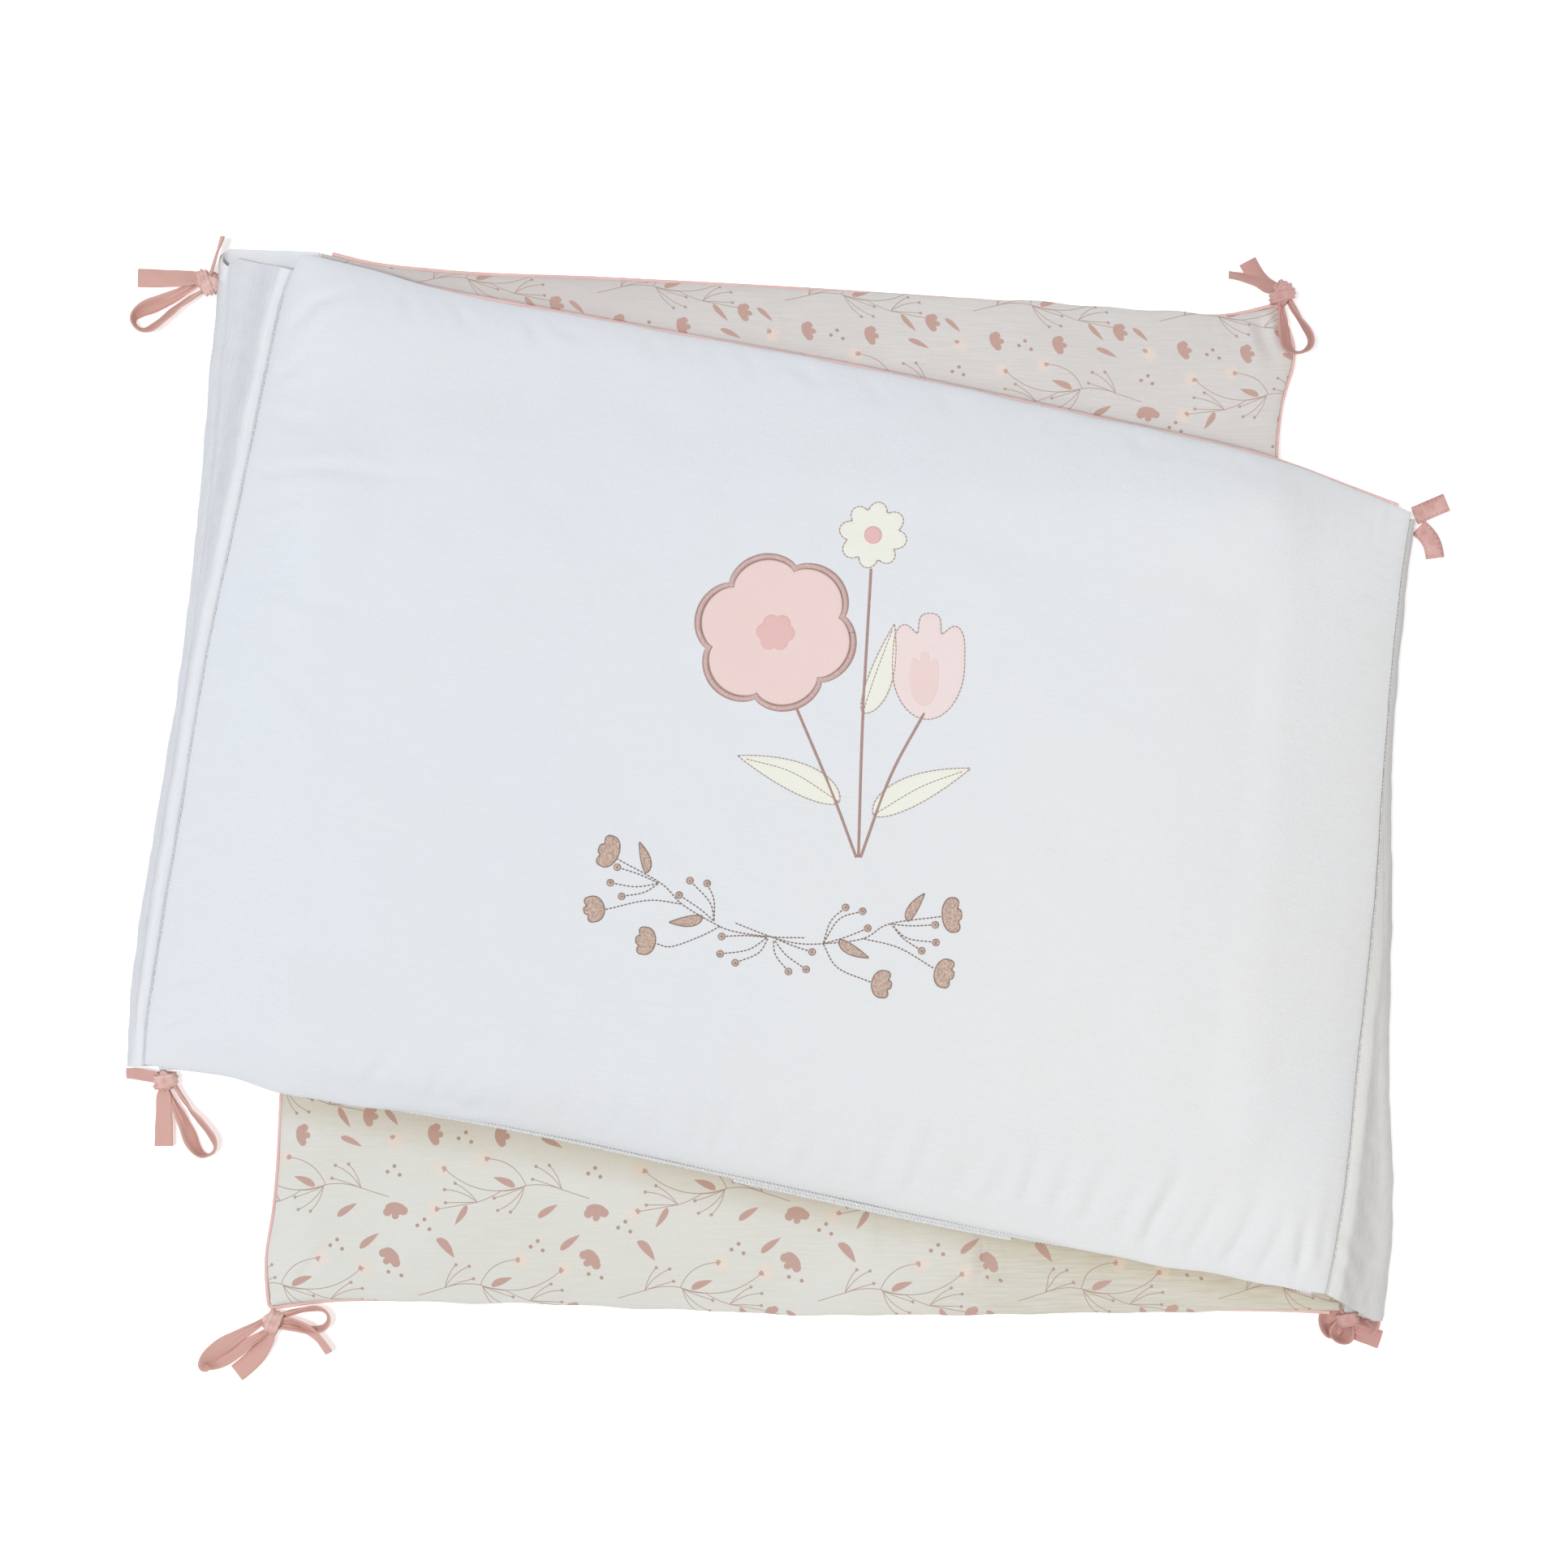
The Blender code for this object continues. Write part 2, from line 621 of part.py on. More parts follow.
def tie_solid(name, finish):
    tie = TIES[name]
    knotted = len(tie["way"]) > 1
    knot = np.array(tie["way"][-1], float)
    pieces = []
    for k, (heading, length, bend, tilt, floor) in enumerate(tie["tails"]):
        line = tail_line(knot, heading, length, bend, tilt, floor)
        pieces.append(band(f"{name}_tail{k}", line, (tilt, tilt), (knotted, False), finish))
    for k, (heading, length, breadth, *tilts, floor) in enumerate(tie["loops"]):
        line = loop_line(knot, heading, length, breadth, tilts, floor)
        pieces.append(band(f"{name}_loop{k}", line, tilts, (True, True), finish))
    if knotted:
        stem_line = smooth_line(tie["way"], STEM_STEPS)
        pieces.append(band(name + "_stem", stem_line, (STEM_TILT, STEM_TILT), (False, True), finish))
        pieces.insert(0, knot_lump(name, knot, tie["tails"][0][0] + 90, finish))
    pieces[0].name = name
    join(pieces[0], pieces[1:])


def main():
    clear_scene()
    white = material("white_cotton", WHITE_COTTON, 0.9)
    printed = material("printed_cotton", PRINTED_COTTON, 0.9)
    pink = material("pink_cotton", PINK_COTTON, 0.85)
    bases = lay_panels()
    panel_solid("centre_panel", bases["centre_panel"], white)
    panel_solid("left_panel", bases["left_panel"], printed)
    panel_solid("right_panel", bases["right_panel"], printed)
    for name in HINGES:
        hinge_solid(name, bases, white)
    pipings(bases, pink, white)
    for name in TIES:
        tie_solid(name, pink)
    place_all()


main()
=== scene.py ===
import math

import bmesh
import bpy
import numpy as np
from mathutils import Matrix, Vector
from mathutils.bvhtree import BVHTree


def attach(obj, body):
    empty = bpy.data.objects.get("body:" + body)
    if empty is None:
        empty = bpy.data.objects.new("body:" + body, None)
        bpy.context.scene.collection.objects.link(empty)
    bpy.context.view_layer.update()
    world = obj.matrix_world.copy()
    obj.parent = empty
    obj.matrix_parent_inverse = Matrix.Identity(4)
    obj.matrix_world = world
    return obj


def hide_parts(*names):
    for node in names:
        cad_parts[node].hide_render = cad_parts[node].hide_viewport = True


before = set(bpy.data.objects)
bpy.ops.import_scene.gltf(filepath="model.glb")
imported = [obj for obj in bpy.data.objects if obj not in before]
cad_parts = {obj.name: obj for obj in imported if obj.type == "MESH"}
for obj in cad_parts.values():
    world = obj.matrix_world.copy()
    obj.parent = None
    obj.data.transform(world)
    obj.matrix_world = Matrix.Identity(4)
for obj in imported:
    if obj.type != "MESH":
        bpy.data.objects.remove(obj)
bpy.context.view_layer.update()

mm = 0.001
outlineMiddle = (0.97, -1.32)  # the tables below are in millimetres around this point
print("frame loaded:", len(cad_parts), "nodes")


# finishes
class Wire:
    # a shader socket that can stand in a Python sum

    def __init__(self, finish, socket):
        self.finish = finish
        self.socket = socket

    def sum(self, operation, *values):
        return self.finish.node("ShaderNodeMath", {"operation": operation}, dict(enumerate(values)))

    def __add__(self, other):
        return self.sum("ADD", self, other)

    def __radd__(self, other):
        return self.sum("ADD", other, self)

    def __sub__(self, other):
        return self.sum("SUBTRACT", self, other)

    def __rsub__(self, other):
        return self.sum("SUBTRACT", other, self)

    def __mul__(self, other):
        return self.sum("MULTIPLY", self, other)

    def __rmul__(self, other):
        return self.sum("MULTIPLY", other, self)

    def __abs__(self):
        return self.sum("ABSOLUTE", self)

    def sine(self):
        return self.sum("SINE", self)

    def least(self, other):
        return self.sum("MINIMUM", self, other)

    def most(self, other):
        return self.sum("MAXIMUM", self, other)

    def power(self, other):
        return self.sum("POWER", self, other)

    def ramp(self, low, high, fromValue=0.0, toValue=1.0, kind="SMOOTHSTEP"):
        # eased step from fromValue at low to toValue at high
        sockets = {"Value": self, "From Min": low, "From Max": high, "To Min": fromValue, "To Max": toValue}
        return self.finish.node("ShaderNodeMapRange", {"interpolation_type": kind}, sockets)


class Finish:
    # one material and the calls that draw its nodes

    def __init__(self, name, colour, roughness, sheen=0.0, sheenTint=(1, 1, 1)):
        self.material = bpy.data.materials.new(name)
        self.material.use_nodes = True
        self.tree = self.material.node_tree
        self.shader = self.tree.nodes["Principled BSDF"]
        self.put("Base Color", (*colour, 1))
        self.put("Roughness", roughness)
        self.put("Specular IOR Level", 0.3)
        self.put("Sheen Weight", sheen)
        self.put("Sheen Roughness", 0.45)
        self.put("Sheen Tint", (*sheenTint, 1))
        self.material.diffuse_color = (*colour, 1)

    def put(self, socket, value):
        if isinstance(value, Wire):
            self.tree.links.new(value.socket, self.shader.inputs[socket])
        else:
            self.shader.inputs[socket].default_value = value

    def node(self, kind, settings=None, sockets=None, out=0):
        made = self.tree.nodes.new(kind)
        for key, value in (settings or {}).items():
            setattr(made, key, value)
        for key, value in (sockets or {}).items():
            if isinstance(value, Wire):
                self.tree.links.new(value.socket, made.inputs[key])
            else:
                made.inputs[key].default_value = value
        return Wire(self, made.outputs[out])

    def cloth(self):
        # the piece's own cloth coordinates, in millimetres: along, across
        place = self.node("ShaderNodeUVMap", {"uv_map": "cloth"})
        return self.node("ShaderNodeVectorMath", {"operation": "SCALE"}, {0: place, "Scale": 1000.0})

    def split(self, vector):
        made = self.tree.nodes.new("ShaderNodeSeparateXYZ")
        self.tree.links.new(vector.socket, made.inputs[0])
        return [Wire(self, socket) for socket in made.outputs]

    def join(self, x, y, z=0.0):
        return self.node("ShaderNodeCombineXYZ", {}, {0: x, 1: y, 2: z})

    def noise(self, vector, scale, detail=2.0, roughness=0.5):
        sockets = {"Vector": vector, "Scale": scale, "Detail": detail, "Roughness": roughness}
        return self.node("ShaderNodeTexNoise", {}, sockets)

    def stretched(self, vector, along, across):
        sockets = {0: vector, 1: (along, across, 1.0)}
        return self.node("ShaderNodeVectorMath", {"operation": "MULTIPLY"}, sockets)

    def yarn(self, place, along=0.05, across=0.9):
        # streaks of thicker and thinner yarn, from 0 to 1
        return self.noise(self.stretched(place, along, across), 1.0, 3.0, 0.6).ramp(0.3, 0.7)

    def relief(self, fine, fineDepth, fineStrength, soft, softDepth, softStrength):
        # threads or stitches, with soft crumples over them
        under = self.bump(fine, fineDepth, fineStrength)
        self.put("Normal", self.bump(soft, softDepth, softStrength, under=under))

    def mix(self, share, first, second):
        sockets = {0: share, 6: first, 7: second}
        for key in (6, 7):
            if not isinstance(sockets[key], Wire):
                sockets[key] = (*sockets[key], 1)
        return self.node("ShaderNodeMix", {"data_type": "RGBA"}, sockets, out=2)

    def bump(self, height, depth, strength=1.0, under=None):
        sockets = {"Height": height, "Distance": depth, "Strength": strength}
        if under is not None:
            sockets["Normal"] = under
        return self.node("ShaderNodeBump", {}, sockets)


clothLooks = {
    "weavePitch": 0.9,  # mm from thread to thread
    "weaveDepth": 0.00016,
    "weaveStrength": 0.55,
    "crumple": 0.0005,
    "cottonRoughness": 0.92,
    "white": (0.722, 0.748, 0.792),
    # also the warm end of the white cloth's painted light, at its lower right
    "whiteWarm": (0.744, 0.739, 0.728),
    "pink": (0.835, 0.590, 0.555),
    "palePink": (0.790, 0.610, 0.590),
    "blush": (0.800, 0.675, 0.665),
    "cream": (0.800, 0.800, 0.715),
    "roseGold": (0.930, 0.715, 0.595),
    "brown": (0.410, 0.275, 0.230),
}


def weave(finish, place, pitch, slub=1.0):
    # height of a plain weave with uneven threads
    x, y = finish.split(place)[:2]
    turn = 2 * math.pi / pitch
    over = (x * turn).sine() * (y * turn).sine()
    slubs = finish.noise(finish.stretched(place, 0.25, 1.6), 1.0, 3.0, 0.6)
    warps = finish.noise(finish.stretched(place, 1.5, 0.2), 1.0, 3.0, 0.6)
    return over * 0.22 + (slubs + warps) * slub


def wovenRelief(finish, place, soft, softDepth, softStrength):
    # woven threads with soft crumples or folds over them
    looks = clothLooks
    threads = weave(finish, place, looks["weavePitch"])
    finish.relief(threads, looks["weaveDepth"], looks["weaveStrength"], soft, softDepth, softStrength)


def lighter(colour, share):
    return tuple(min(1.0, part * share) for part in colour)


def wovenCotton(name, colour, second, sheen=0.18, paintedLightRamp=None):
    # plain woven cotton: threads, uneven yarn, soft crumples and a drift in colour, and perhaps painted
    # light: a ramp along the cloth from the first colour to the second
    roughness = clothLooks["cottonRoughness"]
    finish = Finish(name, colour, roughness, sheen)
    place = finish.cloth()
    drift = finish.noise(place, 0.012, 3.0, 0.55).ramp(0.35, 0.65)
    streak = finish.yarn(place)
    if paintedLightRamp:
        x, y = finish.split(place)[:2]
        # painted light: the ramp turns the colour along the cloth as the lamps' colour turns
        drift = drift * 0.2 + (x - y * 0.9).ramp(*paintedLightRamp, 0.0, 0.8)
    ground = finish.mix(drift, colour, second)
    finish.put("Base Color", finish.mix(streak * 0.5, ground, lighter(colour, 1.035)))
    finish.put("Roughness", streak.ramp(0.0, 1.0, roughness - 0.05, roughness + 0.04))
    wovenRelief(finish, place, finish.noise(place, 0.09, 4.0, 0.6), clothLooks["crumple"], 0.6)
    return finish


def stripCotton(name, single, double, seamBand, hem, foldAt, upper=0.0):
    # one layer of thin cotton, whiter where the seam's turned-in edge or, behind the fold, a hem
    # lies under it; greyer within about 2 mm of the seam, painted shadow
    finish = Finish(name, single, clothLooks["cottonRoughness"], 0.12)
    place = finish.cloth()
    x, y = finish.split(place)[:2]
    uneven = finish.noise(finish.stretched(place, 0.2, 0.05), 1.0, 2.0) * 3.0 - 1.5
    # painted shadow: no white within 2 mm of the seam, so the cloth there is greyer
    white = (x + uneven).ramp(seamBand - 2.2, seamBand + 1.6, 1.0, 0.0) * x.ramp(0.6, 2.0)
    hemmed = (y + uneven * 0.3).ramp(-hem - 0.8, -hem + 0.8, 0.0, 1.0)
    white = white.most(hemmed * x.ramp(foldAt - 3, foldAt + 1))
    streak = finish.yarn(place, 0.9, 0.05)
    mottled = finish.noise(place, 0.16, 3.0, 0.6).ramp(0.3, 0.7)
    paint = finish.mix(mottled * 0.7, tuple(c * 0.97 for c in single), tuple(c * 1.03 for c in single))
    paint = finish.mix(streak * 0.3, finish.mix(white, paint, double), double)
    if upper:
        # painted shade: darker towards the strip's top end, by the share given
        paint = finish.mix(y.ramp(-290, -130, 0.0, upper), paint, tuple(c * 0.7 for c in single))
    finish.put("Base Color", paint)
    finish.put("Roughness", streak.ramp(0.0, 1.0, 0.87, 0.95))
    folds = finish.noise(finish.stretched(place, 0.11, 0.07), 1.0, 4.0, 0.6) + white * 0.35
    wovenRelief(finish, place, folds, 0.0011, 0.8)
    return finish


# the print on the end panels: one repeat, charted in millimetres from the joint of a sprig
printChart = {
    "across": 96.3,  # size of one repeat
    "down": 95.5,
    "soft": 0.11,
    "stemHalf": 0.19,
    "dot": 0.98,
    "berry": 0.84,
    "ink": (0.500, 0.315, 0.270),
    "inkDeep": (0.420, 0.250, 0.210),
    "stemInk": (0.420, 0.290, 0.245),
    "blush": (0.815, 0.650, 0.545),
    "secondSprig": (-21.8, -48.6),  # the second sprig is the first one turned over
    # stems of a sprig: from x, y to x, y and how far it bows to its left
    "stems": (
        (0.0, 0.0, 17.1, -1.6, 1.2), (17.1, -1.6, 30.3, -5.8, 0.0), (17.1, -1.6, 11.1, 9.9, -0.9),
        (17.1, -1.6, 4.7, 9.3, -1.4), (17.1, -1.6, 3.1, 3.1, -0.3), (0.0, 0.0, -18.7, 12.8, -3.6),
        (0.0, 0.0, -39.3, 7.8, 6.0), (-0.8, -0.6, -15.2, -6.2, 0.3), (0.0, 0.0, -12.1, -2.7, 0.7),
        (-12.1, -2.7, -23.3, -8.2, 0.5), (-23.3, -8.2, -42.4, -11.8, 0.0), (-23.3, -8.2, -34.0, 0.8, -0.9),
        (-23.3, -8.2, -39.1, -2.3, -1.4), (-23.3, -8.2, -38.5, -8.6, 0.0), (-1.0, -0.6, -13.4, -12.1, 1.5),
        (-1.0, -0.6, -7.2, -12.8, 1.2),
    ),
    "berries": ((11.1, 9.9), (4.7, 9.3), (3.1, 3.1), (-15.2, -6.2), (-34.0, 0.8), (-39.1, -2.3),
                (-38.5, -8.6), (-13.4, -12.1), (-7.2, -12.8)),
    "dots": ((-28.8, 25.3), (-32.3, 22.4), (-26.3, 20.8), (33.1, 8.9), (29.8, 6.2), (35.6, 4.7),
             (48.0, -16.7), (44.7, -19.6), (50.6, -21.4), (6.4, -26.6), (3.1, -29.4), (8.9, -31.1),
             (30.7, -42.4), (36.8, -44.2)),
    # blossoms: the heart's place and where its soft petals lie from it
    "sprigBlossoms": ((-18.7, 12.8, -1.6, -0.2), (-39.3, 7.8, -2.0, 0.3)),
    "endBlossom": (-42.4, -11.6, -1.9, -0.8),
    "blossom": (32.3, 22.8, 2.0, -1.8),
    # leaves: blunt end, tip, share of the length that each edge stands out on the left and on the right
    "sprigLeaves": ((-5.4, -0.8, -15.8, 3.9, 0.10, 0.21), (-28.4, -9.7, -33.8, -19.4, 0.18, 0.10)),
    "leaves": ((7.4, 22.8, 17.6, 18.3, 0.17, 0.10), (28.7, 35.8, 34.9, 28.4, 0.20, 0.11),
               (6.2, -15.4, 15.4, -8.9, 0.19, 0.11), (17.5, -30.9, 26.6, -23.3, 0.18, 0.11),
               (54.1, -26.1, 62.8, -35.4, 0.25, 0.08)),
    # tulips: middle, the way they open in degrees, size, which side's petal is the short one
    "tulips": ((53.1, 24.4, 8, 1.0, -1), (-11.1, 23.9, 4, 1.0, -1), (22.0, 33.2, -4, 1.0, -1),
               (33.8, -12.8, 262, 1.12, 1), (31.5, -35.4, 218, 1.12, 1)),
}


def printedCotton(name, colour, shade, paintedLightRamp, paintedShadeBelowPanel=None):
    # ivory cotton with the leaf and flower print; its ground turns along the cloth from one colour to
    # another, painted light and shade for the light's fall-off
    chart = printChart
    finish = Finish(name, colour, 0.9, 0.15)
    spot = finish.cloth()
    wobble = finish.noise(spot, 0.35, 2.0)
    x, y = finish.split(spot)[:2]

    def wrapped(value, low, repeat):
        return finish.node("ShaderNodeMath", {"operation": "WRAP"}, {0: value, 1: low + repeat, 2: low})

    def near(vector, ax, ay):
        return finish.node("ShaderNodeVectorMath", {"operation": "DISTANCE"},
                           {0: vector, 1: (ax, ay, 0.0)}, out=1)

    def turned(vector, ax, ay, angle, size=1.0):
        # the vector as seen from a point, along an angle and in a size of its own
        places = {"Vector": vector, "Location": (ax, ay, 0.0), "Rotation": (0.0, 0.0, angle),
                  "Scale": (size, size, 1.0)}
        return finish.node("ShaderNodeMapping", {"vector_type": "TEXTURE"}, places)

    def least(values):
        total = values[0]
        for value in values[1:]:
            total = total.least(value)
        return total

    def bow(vector, ax, ay, bx, by, rise):
        # distance from a bowed line
        half = math.hypot(bx - ax, by - ay) / 2
        own = turned(vector, (ax + bx) / 2, (ay + by) / 2, math.atan2(by - ay, bx - ax), half)
        along, aside = finish.split(own)[:2]
        off = abs(aside - (1 - along * along) * (rise / half)) if rise else abs(aside)
        slope = 1 / math.sqrt(1 + (1.2 * rise / half) ** 2)
        return (off * slope).most(abs(along) - 1) * half

    def leaf(vector, ax, ay, bx, by, left, right):
        # blunt at its foot and pointed at its tip
        long = math.hypot(bx - ax, by - ay)
        own = turned(vector, ax, ay, math.atan2(by - ay, bx - ax), long)
        along, aside = finish.split(own)[:2]
        full = (1 - along) * along.most(0.0).power(0.55) * 2.7
        return (aside - full * left).most(-1 * aside - full * right).most(-1 * along) * (0.9 * long)

    def tulip(vector, ax, ay, opens, size, side):
        # a smooth cup with three petals at its open side
        own = turned(vector, ax, ay, math.radians(opens), size)
        cup = near(finish.stretched(own, 1.0, 0.60), -1.15, 0.0) - 2.7
        petals = [near(own, px, py * side) - radius for px, py, radius in
                  ((-0.7, 3.5, 1.9), (1.95, 0.4, 1.5), (0.7, -3.2, 1.9))]
        return least([cup, *petals]) * size

    # both sprigs share one drawing: the upper part of a repeat holds the first, the rest the second
    jointX, jointY = chart["secondSprig"]
    low = wrapped(y, -71.0, chart["down"])
    inFirst = low.ramp(-25.1, -25.0, 0.0, 1.0, "LINEAR")
    firstX = wrapped(x, -50.0, chart["across"])
    secondX = -1 * wrapped(x - jointX, -46.3, chart["across"])
    sprig = finish.join(secondX + inFirst * (firstX - secondX), low - jointY * (1 - inFirst))
    tile = finish.join(wrapped(x, -33.4, chart["across"]), wrapped(y, -50.0, chart["down"]))

    stems = least([bow(sprig, *stem) for stem in chart["stems"]])
    berries = least([near(sprig, *place) for place in chart["berries"]]) - chart["berry"]
    dots = least([near(tile, *place) for place in chart["dots"]]) - chart["dot"]
    leaves = [leaf(sprig, *place) for place in chart["sprigLeaves"]]
    leaves = least(leaves + [leaf(tile, *place) for place in chart["leaves"]])
    tulips = least([tulip(tile, *place) for place in chart["tulips"]])

    petals, hearts = [], []
    groups = [(sprig, place, 0.0) for place in chart["sprigBlossoms"]]
    groups += [(sprig, chart["endBlossom"], (1 - inFirst) * 40), (tile, chart["blossom"], 0.0)]
    for vector, (hx, hy, dx, dy), missing in groups:
        petals.append(near(finish.stretched(vector, 1.0, 0.85), hx + dx, (hy + dy) * 0.85) + missing)
        hearts.append(near(vector, hx, hy) + missing)
    ragged = finish.noise(spot, 0.42, 3.0, 0.7)
    petalMask = (least(petals) + ragged * 5.0).ramp(4.6, 6.9, 0.8, 0.0)
    heartMask = (least(hearts) + finish.noise(spot, 0.9, 1.0) * 2.2 - 2.3).ramp(-0.25, 0.25, 1.0, 0.0)

    soft = chart["soft"]
    grain = (wobble - 0.5) * 0.2
    solid = (leaves.least(tulips) + grain).ramp(-soft, soft, 1.0, 0.0)
    dotMask = berries.least(dots).ramp(-soft, soft, 1.0, 0.0)
    ring = abs(dots + 0.5).ramp(0.1, 0.4, 1.0, 0.0)
    stemMask = (stems - chart["stemHalf"]).ramp(-soft, soft, 1.0, 0.0)

    drift = finish.noise(spot, 0.012, 3.0, 0.55).ramp(0.35, 0.65)
    streak = finish.yarn(spot)
    # painted shade: the ground turns from the first colour to the second along the cloth
    paint = finish.mix(drift * 0.25 + x.ramp(*paintedLightRamp, 0.0, 0.75), colour, shade)
    paint = finish.mix(streak * 0.5, paint, lighter(colour, 1.04))
    paint = finish.mix(petalMask * 0.62, paint, chart["blush"])
    mottled = finish.noise(spot, 2.6, 2.0).ramp(0.25, 0.75)
    ink = finish.mix(mottled * 0.35, chart["ink"], tuple(c * 1.18 for c in chart["ink"]))
    paint = finish.mix(stemMask * 0.95, paint, chart["stemInk"])
    paint = finish.mix(solid * 0.94, paint, ink)
    paint = finish.mix(heartMask * 0.85, paint, chart["ink"])
    paint = finish.mix(dotMask * (ring * 0.2 + 0.72), paint, chart["inkDeep"])
    if paintedShadeBelowPanel:
        # painted shade: duller and yellower beside the panel that lies over it, where its shadow falls, below
        # the line y = start + slope * x
        start, slope, reach = paintedShadeBelowPanel
        paintedShadeShare = (start + x * slope - y).ramp(-2.0, reach, 0.5, 0.0)
        paint = finish.node("ShaderNodeMix", {"data_type": "RGBA", "blend_type": "MULTIPLY"},
                            {0: paintedShadeShare, 6: paint, 7: (0.74, 0.66, 0.50, 1.0)}, out=2)
    finish.put("Base Color", paint)
    finish.put("Roughness", streak.ramp(0.0, 1.0, 0.86, 0.94))
    wovenRelief(finish, spot, finish.noise(spot, 0.09, 4.0, 0.6), clothLooks["crumple"], 0.6)
    return finish


bandWidth = 9.0
tieHem = 7.5  # mm from a tie's end to its hem


def bandCotton(name, colour, deep, stitched=True):
    # narrow sewn band: a row of lighter stitches near both edges, with painted shade in the dips between them
    finish = Finish(name, colour, 0.88, 0.25, (1.0, 0.85, 0.82))
    place = finish.cloth()
    x, y = finish.split(place)[:2]
    drift = finish.noise(place, 0.08, 3.0, 0.6).ramp(0.3, 0.7)
    paint = finish.mix(drift, colour, deep)
    height = weave(finish, place, 0.8)
    if stitched:
        hem = x.ramp(-tieHem - 0.3, -tieHem + 0.3)
        paint = finish.mix(hem * 0.45, paint, deep)
        height = height - abs(x + tieHem).ramp(0.2, 0.6, 1.4, 0.0)
        edge = abs(abs(y) - (bandWidth / 2 - 1.1))
        row = edge.ramp(0.1, 0.45, 1.0, 0.0)
        dash = (x * (2 * math.pi / 2.2)).sine().ramp(-0.35, 0.25)
        paint = finish.mix(row * dash * 0.55, paint, lighter(colour, 1.12))
        # painted shade: darker in the dips between the stitches
        paint = finish.mix(row * (1 - dash) * 0.5, paint, tuple(c * 0.72 for c in deep))
        height = height + row * dash * 2.0 - row * 0.8
    finish.put("Base Color", paint)
    finish.put("Roughness", drift.ramp(0.0, 1.0, 0.82, 0.93))
    finish.relief(height, 0.0002, 0.7, finish.noise(place, 0.16, 4.0, 0.6), 0.0007, 0.6)
    return finish


def threadFinish(name, colour, deep, roughness=0.5, pitch=0.55, mottled=0.0):
    # embroidery thread: fine parallel strands with a soft gloss
    finish = Finish(name, colour, roughness, 0.3, (1.0, 0.9, 0.85))
    finish.put("Specular IOR Level", 0.55)
    place = finish.cloth()
    x, y = finish.split(place)[:2]
    lay = finish.noise(place, 0.3, 2.0) * 0.5
    strand = ((x + lay) * (2 * math.pi / pitch)).sine()
    flecks = finish.noise(finish.stretched(place, 1.8, 0.35), 1.0, 2.0, 0.6).ramp(0.3, 0.7)
    # painted shade: the deep colour lies in the grooves between the strands; the flecks and mottling are
    # uneven thread
    shade = strand.ramp(-1.0, 0.6) * 0.6 + flecks * 0.4
    if mottled:
        shade = shade * (1 - mottled) + finish.noise(place, 0.75, 2.0, 0.6).ramp(0.4, 0.6) * mottled
    finish.put("Base Color", finish.mix(shade, deep, colour))
    finish.put("Roughness", flecks.ramp(0.0, 1.0, roughness - 0.08, roughness + 0.12))
    finish.put("Normal", finish.bump(strand + flecks * 0.8, 0.00022, 0.8))
    return finish


print("finishes ready")


# outlines and layers, as the solids have them
sideStops = (0, 0.05, 0.12, 0.3, 0.5, 0.7, 0.88, 0.95, 1)
layering = {
    "seamHeight": 7.0,
    "seamHalf": 0.7,
    "solidSeamHalf": 1.5,
    "edgeRound": 34.0,
    "crownRound": 150.0,
    "edgeShare": 0.76,
    "underRound": 20.0,
    "gap": 1.6,
    "sagCurve": 9.0,
    "cell": 6.0,
    "half": (420.0, 360.0),
    "stripThickness": 2.0,
    "stripRoom": 3,  # mm that the centre panel stays clear of the strips below it
    "lumpHeight": 1.2,
    "heapStops": (260, 200),
    "settlePasses": 2600,
    "evenPasses": 90,
}
cornerNames = ("bottomLeft", "bottomRight", "topLeft", "topRight")
rightPanel = {
    "node": "right_panel",
    "topLeft": (-220, 155), "topRight": (264, 140), "bottomLeft": (-247, -240.5), "bottomRight": (269, -243),
    "top": (-3, -4, -4, -3, -4, -4, -3),
    "bottom": (-3.5, -4.5, -2.8, 1, 0.1, -1.6, -1.2),
    "left": (2.5, 0.6, 1, 0.5, 0, -1, -1),
    "right": (0, -1, -2, -2, -2, -1, 0),
    "loft": 19,
    "creaseDepth": 1.5,
    "cells": (210, 170),
    "creases": ((50, -218, 46, -172, 3.4, .9), (96, -232, 95, -184, 2.6, 1.5),
                (102, -232, 101, -188, 2.4, -.7), (218, -232, 216, -200, 3, .5),
                (-232, -226, -214, -206, 3, .8), (-236, -214, -222, -206, 2.2, .5)),
    # how far the cloth rolls out over its seam, along each side
    "rolls": {"bottom": (.6, 1.6, 3.2, 3.4, 3.4, 3.4, 3.2, 2, 1), "top": (1,) * 9,
              "left": (.6, .9, 1, 1, 1, 1, 1, 1, 1), "right": (1,) * 9},
    # where a sprig's joint of the print lies, the rows' turn in degrees, its scale along and across
    "print": (-123.7, -182.0, -0.7, 1.0, 1.0),
}
leftPanel = {
    "node": "left_panel",
    "topLeft": (-223, 266), "topRight": (237, 240), "bottomLeft": (-241, -126), "bottomRight": (217, -153),
    "top": (-4.5, -6.5, -5.7, -5.3, -6.1, -7, -6.4),
    "bottom": (-2, -3, -3, -3, -3, -3, -2),
    "left": (0, -1, -1, -1, -1, -1, 0),
    "right": (4, 2, 2, 4, 3, 3.5, 8),
    "loft": 18,
    "creaseDepth": 1.6,
    "cells": (200, 170),
    "creases": ((3.1, 238, 3.4, 212, 2.8, .5), (229, 233, 236, 209, 3.4, 1.9), (228, 238, 214, 226, 3, .8),
                (60, 240, 62, 222, 3, .3), (150, 236, 149, 216, 3, .3), (222, 190, 208, 186, 3, .5)),
    "rolls": {"top": (1.2, 1.2, 1.2, 1.3, 1.8, 3.6, 3.6, 2.4, .8), "bottom": (1,) * 9,
              "left": (1,) * 9, "right": (1.4, 1.4, 1.4, 1.4, 1.4, 1.4, 1.4, 1.2, .8)},
    "print": (142.9, 200.3, -3.2, 1.063, 1.163),
}
